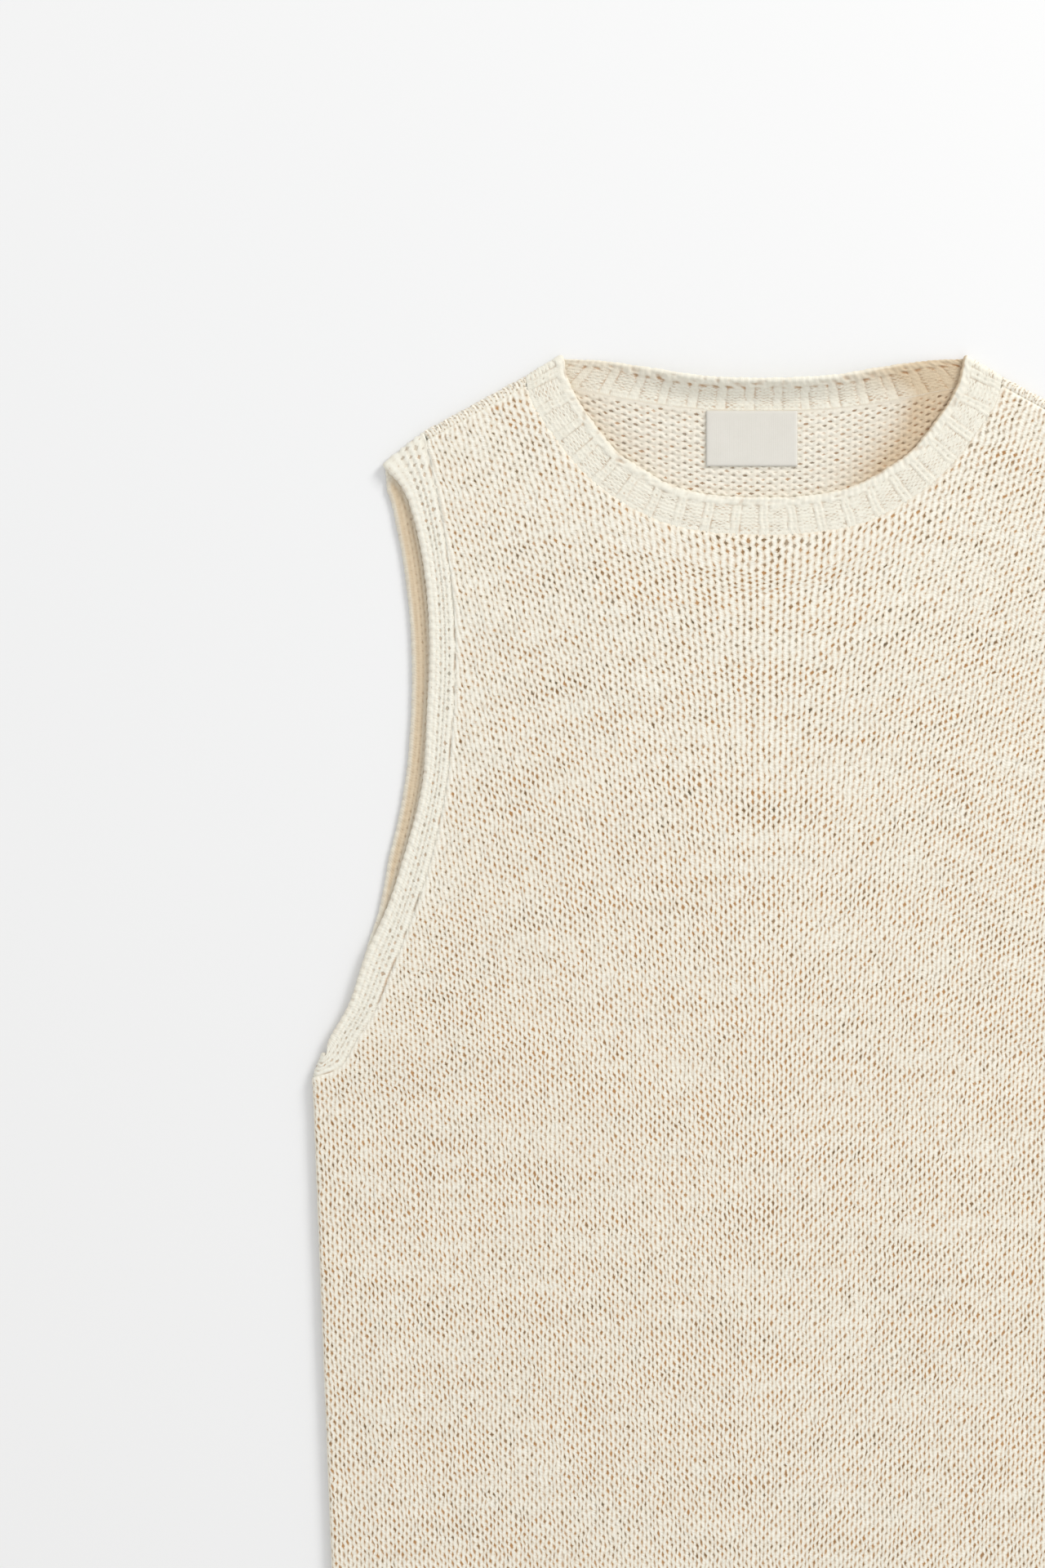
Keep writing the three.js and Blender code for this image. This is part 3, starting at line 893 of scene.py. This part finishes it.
def wrapBack(plan, out):
    side = np.where(plan[:, 0] < 0, -1, 1)
    reach, z = wrapSide(plan, out, backZ, -1)
    place = np.column_stack([reach, plan[:, 1]])

    away = plan * np.column_stack([side, np.ones(len(side))]) - lapStarts[0]
    share = np.clip(away @ lapAlong / np.linalg.norm(lapStarts[1] - lapStarts[0]), 0, 1)[:, None]
    over = away @ lapOut
    angle = np.clip(over / (foldRadius + half), 0, math.pi)
    radius = foldRadius + half + out
    way = unit(mixed(*seamWays, share))
    start = mixed(*lapStarts, share)
    seam = mixed(*seamEnds, share) + way * cut["seamGap"] / 2
    past = np.clip((over - foldOver) / lapTop, 0, 1)[:, None]
    turned = mixed(start, seam, past) + way * (radius * np.sin(angle))[:, None]
    tongue = lapTongue * blend(over, foldOver + lapTop - 3, foldOver + lapTop) * (out > -1.5)
    turned -= way * tongue[:, None]
    folded = over > 0
    place[folded] = turned[folded]
    z[folded] = (midZ - radius * np.cos(angle))[folded]
    return np.column_stack([side * place[:, 0], place[:, 1], z])


def lapPoint(share, over):
    return mixed(*lapStarts, share) + lapOut * over


neckDim = {  # how much, over which x or y, and how deep
    "right": (1.3, (20, 80), 16), "left": (0.33, (25, 95), 15), "rim": (0.1, 5),
    "corner": (1.2, (62, 98), (275, 300)),
}


def neckShade(plan):
    # painted shade: how warm and dim the inside is near the front neckband, which lies over it and
    # shadows it: most of all at the side that the light comes from
    deep, _ = signedDistance(plan, wholeOutline(neckFrontEdge(np.linspace(1, 0, 60))))
    deep = np.maximum(deep, 0)
    x, y = plan.T
    dim = neckDim["rim"][0] * bell(deep, neckDim["rim"][1])
    for way, (share, over, reach) in ((1, neckDim["right"]), (-1, neckDim["left"])):
        dim += share * blend(way * x, *over) * bell(deep, reach)
    share, overX, overY = neckDim["corner"]
    return dim + share * blend(x, *overX) * blend(y, *overY)


def purlPoints(outline):
    # the inside of the back that shows in the neck: purl, finer than the rest of the inner face
    corner, _ = stitchLattice((-purl["wales"], purl["wales"]), purl["courses"], 8, 4, purl["slant"])
    u, v, leg, phase = corner.T
    x = u * purl["wale"]
    plan = np.column_stack([x, purl["start"] + v * purl["course"] + purl["rise"] * x ** 2])
    distance, _ = signedDistance(plan, outline)
    keep = (distance > purl["inset"]) & (np.abs(x) < purl["reach"]) & (plan[:, 1] > purl["from"])
    keep &= lapGap(plan) > foldOver + lapTop + 1
    lift = legHeight(leg, phase, purl["relief"]) * varied(u, v, 41, *purl["uneven"])
    lift *= blend(distance, *purl["riseOver"])
    lift -= knit["edgeDrop"] * (1 - blend(distance, 0, knit["edgeReach"]))
    # how dark and how warm the painted shade in the openings is
    darkness = np.clip(varied(u, v, 42, *purl["darkness"]), purl["leastDark"], 1)
    tint = np.clip(varied(u, v, 43, *purl["tint"]), 0, 1)
    size = varied(u, v, 44, *purl["size"]) * blend(distance, *purl["openOver"])
    # the values carry painted shade near the front neckband, which lies over this inside
    # the inner face is turned over, so what rises goes down from the outer side
    values = np.column_stack([plan, -lift, u, v, size, darkness, tint, neckShade(plan), u * 0])
    return values[keep]


def makeBack():
    steps = np.linspace(1, 0, 90)
    overs = (0, foldOver / 3, foldOver * 2 / 3, foldOver, foldOver + lapTop)
    lapEdge = [lapPoint(0, over) for over in overs] + [lapPoint(1, over) for over in reversed(overs)]
    armSide = (frontArmSide(steps) + backOut(steps))[:-1]
    steps = np.linspace(1, 0, 50)
    neckSide = panelSide(neckBackEdge(steps), neckBackSeam(steps))[1:]
    neckSide[-1, 0] = 0
    outline = panelOutline(np.array(lapEdge), armSide, neckSide)
    rows, distance, faces = knitPanel(outline, perWale=2)
    for margin in (1.5, 0.5):  # finer where the panel bends over the shoulder
        over = np.array([lapGap(rows[list(face), :2]).min() for face in faces])
        rows, distance, faces = splitCells(rows, distance, faces, over < foldOver + lapTop + margin)
    gap = lapGap(rows[:, :2])
    height, rows = knitValues(rows, distance, gap, knit["backLapDrop"], backFolds, 31)
    height -= knit["relief"]["ridge"]
    height = np.where(gap > foldOver + lapTop, np.minimum(height, 0), height)  # flat on the floor
    onLap = gap < foldOver + lapTop
    rows[onLap, 2] *= lapKnit["finer"]
    rows[onLap, 3] = gap[onLap] / lapKnit["course"]
    # the lap's openings and their painted shade, all alike
    rows[onLap, 4:7] = [lapKnit[name] for name in ("hollow", "darkness", "tint")]
    inner = innerPoints(outline, knit["innerStep"], knit["innerInset"])
    hidden = (np.abs(inner[:, 0]) > purl["reach"]) | (inner[:, 1] < purl["from"])
    bends = [lapPoint(share, over) * (side, 1) for over in (0.3, *overs[1:4])
             for share in np.linspace(0.05, 0.95, 12) for side in (1, -1)]
    bends = withNothing(np.array(bends))
    inner = np.vstack([inner[hidden], bends, purlPoints(outline)])
    points, shell, values, which = closeShell(rows, faces, height, inner, wrapBack)
    return clothPiece("back_knit", points, shell, values, [knitYarn, purlYarn], which)


settle(makeBack(), "back_panel")

# both kinds of band


def flatRows(edge, seam, z, places, lift=0.0):
    # rows across a band from its seam to its open edge; past its first fifth it bends up by lift
    foot = bandSide(edge, seam)
    plan = mixed(foot[:, None], edge[:, None], places[None, :, None])
    bend = np.maximum(places * 5 - 1, 0) / 4
    rise = np.reshape(lift, (-1, 1)) * bend ** 2 * (1.6 - 0.6 * bend)
    return np.dstack([plan, np.broadcast_to(z + rise, plan.shape[:2])])


def foldRows(starts, ways, angles, places):
    # the same rows where the band turns over a fold; starts and ways are at its edge and its seam
    foot = bandSide(starts[0], starts[1])
    share = places[:, None]
    start = mixed(foot, starts[0], share)
    way = unit(mixed(ways[1], ways[0], share))
    plans = [start + way * foldRadius * math.sin(angle) for angle in angles]
    heights = [midZ - foldRadius * math.cos(angle) for angle in angles]
    return np.array([np.insert(plan, 2, z, axis=1) for plan, z in zip(plans, heights)])


turns = np.linspace(0, math.pi, 13)[1:-1]
lap = {
    "reach": 1.1, "steps": 6, "depth": 1.2, "level": (0.3, 0.9),
    "pressed": 0.3, "pressedOver": (0.1, 0.7), "edgeTurns": (0.9, 0.3, -0.3, -0.9),
}


def neckRing(places):
    steps = np.linspace(0, 1, 70)
    backEdge, backSeam = neckBackEdge(steps), neckBackSeam(steps)
    lift = cut["neckStand"] * blend(foldStarts[3][0] - backEdge[:, 0], 0, cut["neckStandReach"])
    back = flatRows(backEdge, backSeam, backZ, places, lift)
    turned = foldRows((foldStarts[3], foldStarts[2]), (foldWays[3], foldWays[2]), turns, places)
    front = flatRows(neckFrontEdge(steps), neckFrontSeam(steps), frontZ, places)[::-1]
    right = np.concatenate([back, turned, front])
    return np.concatenate([right, right[-2:0:-1] * (-1, 1, 1)])


def armRing(places):
    steps = np.linspace(0, 1, 90)
    edge, seam = armEdge(steps), armSeam(steps)
    back = flatRows(edge + backOut(steps), seam + backOut(steps), backZ, places)[::-1]
    over = foldRows((foldStarts[0], foldStarts[1]), (foldWays[0], foldWays[1]), turns, places)
    front = flatRows(edge, seam, frontZ, places)
    under = foldRows(underarmStarts, underarmWays, turns[::-1], places)
    return np.concatenate([back, over, front, under])


def evenRing(ring, stations):
    # the closed ring's rows again, evenly spaced along its middle
    closed = np.concatenate([ring, ring[:1]])
    along = lengthAlong(closed[:, closed.shape[1] // 2])
    wanted = np.linspace(0, along[-1], stations, endpoint=False)
    flat = closed.reshape(len(closed), -1)
    even = np.array([np.interp(wanted, along, column) for column in flat.T]).T
    return even.reshape(stations, *ring.shape[1:]), along[-1]


def bandRows(makeRing, band, stitch, perGroup=1):
    # the band's rows, a whole number of stitches all round, and how far round and across each is
    places = np.linspace(0, 1 - half / band["width"], band["rows"] + 1)
    _, around = evenRing(makeRing(places), 8)
    count = round(around / stitch) * perGroup
    ring, _ = evenRing(makeRing(places), count * band["columns"])
    along, across = np.meshgrid(np.arange(len(ring)) / band["columns"], places, indexing="ij")
    return ring, along, across, count


def bandShell(ring, outer, inner, scallop):
    # a wall on the ring's rows, with a round open edge; outer and inner are its relief. Its foot
    # reaches a little over the panel's lowered edge, more at some stitches by scallop
    ahead = np.roll(ring, -1, 0) - np.roll(ring, 1, 0)
    across = np.gradient(ring, axis=1)
    facing = unit(np.cross(ahead, across))
    facing *= -np.sign(facing[0, 0, 2])  # the ring starts on the back layer, whose outside faces down
    edgeWay = unit(across[:, -1])
    fromFoot = lengthAlong(ring[0]) / lengthAlong(ring[0])[1]
    reach = lap["reach"] * (1 - blend(fromFoot, 0, lap["steps"]))[None, :, None] * -unit(across[:, :1])
    reach = reach * (1 + scallop)[:, None, None]
    up, down = (reach * blend(side * facing[:, :1, 2], *lap["level"])[:, :, None] for side in (1, -1))
    # what faces the floor lies flat on it
    pressed = np.minimum(outer - lap["pressed"], 0)
    outer = mixed(outer, pressed, blend(-facing[:, :, 2], *lap["pressedOver"]))
    sides = [ring + facing * (half + outer)[:, :, None] + up]
    for angle in lap["edgeTurns"]:
        lean = facing[:, -1] * math.sin(angle) + edgeWay * math.cos(angle)
        sides.append((ring[:, -1] + lean * (half + (outer[:, -1:] + inner[:, -1:]) / 2))[:, None])
    sides.append((ring - facing * (half + inner)[:, :, None] + down)[:, ::-1])
    sides += [ring[:, :1] + facing[:, :1] * (side * (half - lap["depth"])) for side in (-1, 1)]
    points = np.concatenate(sides, axis=1)
    number = np.arange(points.size // 3).reshape(points.shape[:2])
    nextRow, nextCol = np.roll(number, -1, 0), np.roll(number, -1, 1)
    faces = np.stack([number, nextCol, np.roll(nextRow, -1, 1), nextRow], -1).reshape(-1, 4)
    points = points.reshape(-1, 3)
    a, b, c, d = (points[faces[:, i]] for i in range(4))
    if (a * np.cross(b - a, c - a) + a * np.cross(c - a, d - a)).sum() < 0:
        faces = faces[:, ::-1]
    return points, [tuple(face) for face in faces.tolist()]


def makeBand(name, band, ring, along, outer, inner, seed, finish, around):
    # outer and inner are a face's relief and its values. Where the band is joined on, its foot
    # reaches further at some stitches
    even, uneven, pace = band["scallop"]
    scallop = even * np.cos(full * along[:, 0]) + uneven * lineNoise(along[:, 0] * pace, seed)
    points, faces = bandShell(ring, outer[0], inner[0], scallop)
    outer, inner = outer[1], inner[1]
    foot = np.repeat(outer[:, :1] * (1, 1, 0, 0, 0, 0, 0), 2, axis=1)
    edge = np.repeat((outer[:, -1:] + inner[:, -1:]) / 2, len(lap["edgeTurns"]), axis=1)
    values = np.concatenate([outer, edge, inner[:, ::-1], foot], axis=1).reshape(-1, outer.shape[2])
    return clothPiece(name, points, faces, values, [finish], around=around)


# neckband

neck = {
    "rib": 13.9, "perRib": 4, "columns": 4, "course": 3.6, "width": 18.5, "rows": 36, "start": 2.0,
    "waleHalf": 2.4, "legAt": 1.4, "legWide": 0.65, "borderWide": 0.5, "middleWide": 0.6,
    "bar": 0.12, "sway": 0.16, "roll": 4.6, "rollRise": 0.3, "rope": 0.17, "tuft": 0.22,
    "footDrop": 0.48, "footOver": (-1.5, 3.5), "scallop": (0.12, 0.3, 1),
}
ribFace = {  # for the outside, and for the inside
    "legs": (0.36, 0), "barred": (0, 0.15), "middle": (0.25, 0), "border": (0.35, 0.25),
    "rough": (0.1, 0.08), "openBorder": (0.4, 0.55), "pit": (1, 0),
    "dashWide": (0.2, 0.24), "dashLong": (0.55, 1.0), "dashPit": (0.6, 0.95),
    "dashDrop": (0.3, 0.5), "dashDark": (0.5, 0.8), "tint": (0.7, 1.0),
}


def ribRelief(u, b, seed, inside):
    # one face of the rib: a knit wale with a hollow down its middle, bars of purl on either side of
    # it, and the rolled cast-off at its edge
    face = {name: pair[inside] for name, pair in ribFace.items()}
    deep = b * neck["width"]
    v = deep / neck["course"]
    swayed = u + neck["sway"] * softNoise(u / 2, v * 1.1, seed + 10)
    fromWale = np.abs((swayed + neck["perRib"] / 2) % neck["perRib"] - neck["perRib"] / 2)
    away = fromWale * neck["rib"] / neck["perRib"]
    legs = bell(away - neck["legAt"], neck["legWide"]) * (0.75 + 0.45 * np.cos(full * v + 1.5))
    barred = blend(away, neck["waleHalf"] - 0.4, neck["waleHalf"] + 0.8)
    border = bell(away - neck["waleHalf"], neck["borderWide"])
    middle = bell(away, neck["middleWide"])
    uneven = 0.7 + 0.35 * softNoise(u / 1.3, v * 1.5, seed + 1) + 0.35 * stitchNoise(u, v * 2, seed + 2)
    ripple = neck["bar"] * (np.cos(full * 2 * v) * (0.5 + 0.5 * barred) + 0.6 * np.cos(full * (u + v)))
    height = face["legs"] * legs + face["barred"] * barred - face["middle"] * middle - ripple
    height += face["rough"] * softNoise(u * 1.7, v * 1.6, seed) - face["border"] * border
    # painted shade: the openings in the purl bars and along the wale's borders, and pits down its middle
    hollow = (0.25 + 0.6 * barred) * uneven + face["openBorder"] * border
    stitch = np.clip(np.cos(full * v), 0, 1) ** 2
    pit = face["pit"] * middle * stitch * (0.75 + 0.35 * softNoise(u / 4, v, seed + 9))

    rollFrom = neck["width"] - neck["roll"]
    toRoll = blend(deep, rollFrom - 0.6, rollFrom + 0.6)
    onRoll = np.clip((deep - rollFrom) / neck["roll"], 0, 1)
    tuft = softNoise(u * 1.1 + onRoll * 0.9, onRoll * 2.4, seed + 3)
    roll = neck["rollRise"] * np.sqrt(np.clip(1 - (onRoll * 1.7 - 0.75) ** 2, 0, 1)) * (0.8 + 0.6 * tuft)
    roll += neck["rope"] * np.cos(full * (u + onRoll * 0.6)) + neck["tuft"] * tuft
    fade = (1 - toRoll) * blend(deep, 0.2, 1.4)
    slanted = (u / 2 + (deep - rollFrom) * 0.1 + 0.15 * lineNoise(u / 2, seed + 8)) % 1
    dash = bell(slanted - 0.5, face["dashWide"]) * bell(deep - rollFrom + 0.1, face["dashLong"])
    dash *= np.clip(0.75 + 0.45 * lineNoise(u / 1.7, seed + 4), 0, 1)
    lines = border * np.clip(0.5 + 0.3 * softNoise(u, v * 2, seed + 11), 0, 1)
    # painted shade also in the dashes along the roll and in pits between its tufts
    pit = (pit + lines) * fade + face["dashPit"] * dash + 1.1 * toRoll * np.clip(-tuft - 0.2, 0, 1)
    height = mixed(height, roll, toRoll) - face["dashDrop"] * dash
    height -= neck["footDrop"] * (1 - blend(deep, *neck["footOver"]))
    darkness = np.clip(0.34 + 0.3 * softNoise(u, v * 2, seed + 6) + 0.3 * border, 0.1, 1)
    darkness = np.where(dash > 0.2, np.maximum(darkness, face["dashDark"]), darkness)
    tint = np.clip(face["tint"] + 0.4 * softNoise(u / 2, v, seed + 7), 0, 1)
    return height, np.stack([u, v, hollow * fade, darkness, tint, u * 0, pit], -1)


def makeNeckband():
    ring, u, b, units = bandRows(neckRing, neck, neck["rib"], neck["perRib"])
    u = u + neck["start"]
    outer = ribRelief(u % units, b, 51, inside=False)
    inner = ribRelief(u % units, b, 61, inside=True)
    # painted shade on the inside, under the front neckband
    inner[1][:, :, 5] = neckShade(ring[:, :, :2].reshape(-1, 2)).reshape(b.shape)
    return makeBand("neckband_knit", neck, ring, u, outer, inner, 58, ribYarn, (0, units))


settle(makeNeckband(), "neckband")

# armbands

arm = {
    "wale": 4.3, "course": 4.3, "columns": 4, "width": 13.0, "rows": 24, "slant": 1.2, "shift": 0.3,
    "relief": {"hole": 0.6, "groove": 0.12, "ridge": 0.3, "crossing": 0.05},
    "rollFrom": 8.6, "rollRise": 0.2, "rollRough": 0.2, "rope": 0.16,
    "footDrop": 0.48, "footOver": (-1.5, 3.5), "scallop": (0.12, 0.25, 0.7),
    "seamAt": 1, "seamWide": 0.45, "seamPit": 0.8, "seamDark": 0.75, "calm": 0.4, "calmOver": (4, 14),
    # painted warm shade on the inside strip beside the front
    "rolled": (2.8, 1.2), "dim": (0.5, 1.0), "dimmer": 1.15,
}
# for the outside, and for the inside
armFace = {"relief": (1, 0.5), "hollow": (0.9, 0.7), "dark": (1, 0.6)}


def armRelief(v, b, calm, seed, inside):
    # one face of the knitted band: its stitches, the line of its seam and the rolled edge
    face = {name: pair[inside] for name, pair in armFace.items()}
    deep = b * arm["width"]
    u = deep / arm["wale"] + arm["shift"]
    leg = np.abs(u % 1 - 0.5) * 2
    height = legHeight(leg, (v - arm["slant"] * leg) % 1, arm["relief"])
    height *= (0.9 + 0.3 * stitchNoise(u, v, seed)) * face["relief"]
    toRoll = blend(deep, arm["rollFrom"] - 1, arm["rollFrom"] + 1)
    onRoll = np.clip((deep - arm["rollFrom"]) / (arm["width"] - arm["rollFrom"]), 0, 1)
    rough = softNoise(v * 1.4 + onRoll, onRoll * 2, seed + 6)
    roll = arm["rollRise"] * (1 - (onRoll * 1.5 - 0.7) ** 2) + arm["rollRough"] * rough
    roll += arm["rope"] * np.cos(full * (v + onRoll * 0.6))
    height = mixed(height, roll, toRoll) * calm
    height -= arm["footDrop"] * (1 - blend(deep, *arm["footOver"]))
    # painted shade in the openings, less on the roll, and the seam's broken dark line
    hollow = face["hollow"] + 0.3 * stitchNoise(u, v, seed + 1)
    hollow *= (1 - 0.6 * toRoll) * blend(deep, 0.8, 1.6)
    broken = np.clip(0.3 + 1.1 * lineNoise(v * 0.8, seed + 7), 0, 1)
    seam = bell(deep - arm["seamAt"], arm["seamWide"]) * broken
    darkness = np.clip(0.42 + 0.3 * stitchNoise(u, v, seed + 2), 0.1, 1) * face["dark"]
    darkness = mixed(darkness, arm["seamDark"], np.clip(seam * 2, 0, 1))
    tint = np.clip(0.6 + 0.4 * stitchNoise(u, v, seed + 3) + 0.3 * softNoise(v / 6, u, seed + 4), 0, 1)
    return height, np.stack([u, v, hollow, darkness, tint, u * 0, seam * arm["seamPit"]], -1)


def makeArmband(name, node, side, seed):
    ring, v, b, courses = bandRows(armRing, arm, arm["course"])
    ring = ring * (side, 1, 1)
    low = np.linalg.norm(ring[:, :, :2] - lastPoint("edge") * (side, 1), axis=2)
    # the stitches lie flat at the underarm's tip
    calm = mixed(arm["calm"], 1, blend(low, *arm["calmOver"]))
    outer = armRelief(v, b, calm, seed, inside=False)
    inner = armRelief(v, b, calm, seed + 5, inside=True)
    # painted warm shade on the inside strip: less right at the front's edge, more towards the top, less on
    # the rolled edge
    frontEdge = np.vstack([(300, 400), armEdge(np.linspace(0, 1, 80)), (300, -200)])
    deep, _ = signedDistance(ring[:, :, :2].reshape(-1, 2) * (side, 1), frontEdge)
    dim = mixed(*arm["dim"], blend(np.maximum(deep, 0).reshape(b.shape), 0.3, 3))
    dim = dim * mixed(1, arm["dimmer"], blend(ring[:, :, 1], 150, 230))
    rolled = blend(b * arm["width"], *(arm["width"] - away for away in arm["rolled"]))
    inner[1][:, :, 5] = dim * (1 - 0.7 * rolled)
    piece = makeBand(name, arm, ring, v, outer, inner, seed + 9, armYarn, (1, courses))
    settle(piece, node)


makeArmband("armband_knit_left", "armband_left", -1, 71)
makeArmband("armband_knit_right", "armband_right", 1, 81)

# label

label = {
    "step": 1.0, "edge": 0.9, "edgeDrop": 0.2, "wave": 0.1,
    "light": color(226, 223, 215), "dark": color(219, 216, 207), "cloud": 160.0,
    "thread": 0.22, "floatOver": 5, "bump": 0.35, "bumpDepth": 0.06,
}


def satinFinish():
    make = Finish("satinWeave", Roughness=0.55, Sheen_Weight=0.15, Specular_IOR_Level=0.4)
    place = make.node("TexCoord", out=3)
    x = make.node("SeparateXYZ", inputs={0: place})
    y = x.out(1)
    perMetre = 1 / (label["thread"] * mm)
    rows = (y * (full * perMetre)).math("SINE")
    floats = ((x * (perMetre / label["floatOver"]) + y * (2 * perMetre)) * full).math("SINE")
    cloud = make.node("TexNoise", inputs={"Vector": place, "Scale": label["cloud"], "Detail": 3.0})
    surface = make.mix(cloud, label["light"], label["dark"])
    bump = make.bump(label["bump"], label["bumpDepth"], rows + floats * 0.6)
    return make.finish(Base_Color=surface, Normal=bump)


def makeLabel():
    low, high = (np.array(corner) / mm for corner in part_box("label"))
    size = np.round((high - low)[:2] / label["step"]).astype(int)
    x, y = np.meshgrid(np.linspace(0, 1, size[0] + 1), np.linspace(0, 1, size[1] + 1), indexing="ij")
    insets = [np.minimum(share, 1 - share) * (high - low)[i] for i, share in enumerate((x, y))]
    fromEdge = np.minimum(*insets)
    plan = np.dstack([mixed(low[0], high[0], x), mixed(low[1], high[1], y)])
    wave = label["wave"] * softNoise(x * 3, y * 2, 91) * blend(fromEdge, 0, 3)
    topZ = high[2] - label["edgeDrop"] * (1 - blend(fromEdge, 0, label["edge"])) + wave
    upper = np.dstack([plan, topZ]).reshape(-1, 3)
    lower = np.dstack([plan, np.full(topZ.shape, low[2])]).reshape(-1, 3)
    number = np.arange(x.size).reshape(x.shape)
    faces = [tuple(cell) for cell in gridCells(number).tolist()]
    edge = openEdge(faces)
    faces += [tuple(i + x.size for i in reversed(face)) for face in faces]
    faces += [(b, a, a + x.size, b + x.size) for a, b in facePairs(edge)]
    points = np.vstack([upper, lower])
    values = np.column_stack([np.tile(plan.reshape(-1, 2), (2, 1)), np.zeros((len(points), 5))])
    return clothPiece("label_satin", points, faces, values, [satinFinish()])


settle(makeLabel(), "label")
print("label is sewn on")

# floor

floor = {"size": 3000, "drop": 0.15, "dark": color(237, 238, 239), "light": color(240, 240, 240)}


def makeFloor():
    bpy.ops.mesh.primitive_plane_add(size=floor["size"] * mm, location=(0, 0, -floor["drop"] * mm))
    piece = bpy.context.object
    piece.name = "paleFloor"
    make = Finish("paleFloor", Roughness=0.9, Specular_IOR_Level=0.1)
    grain = make.node("TexNoise", inputs={"Scale": 3.0, "Detail": 1.0})
    piece.data.materials.append(make.finish(Base_Color=make.mix(grain, floor["dark"], floor["light"])))


makeFloor()

bpy.context.view_layer.update()
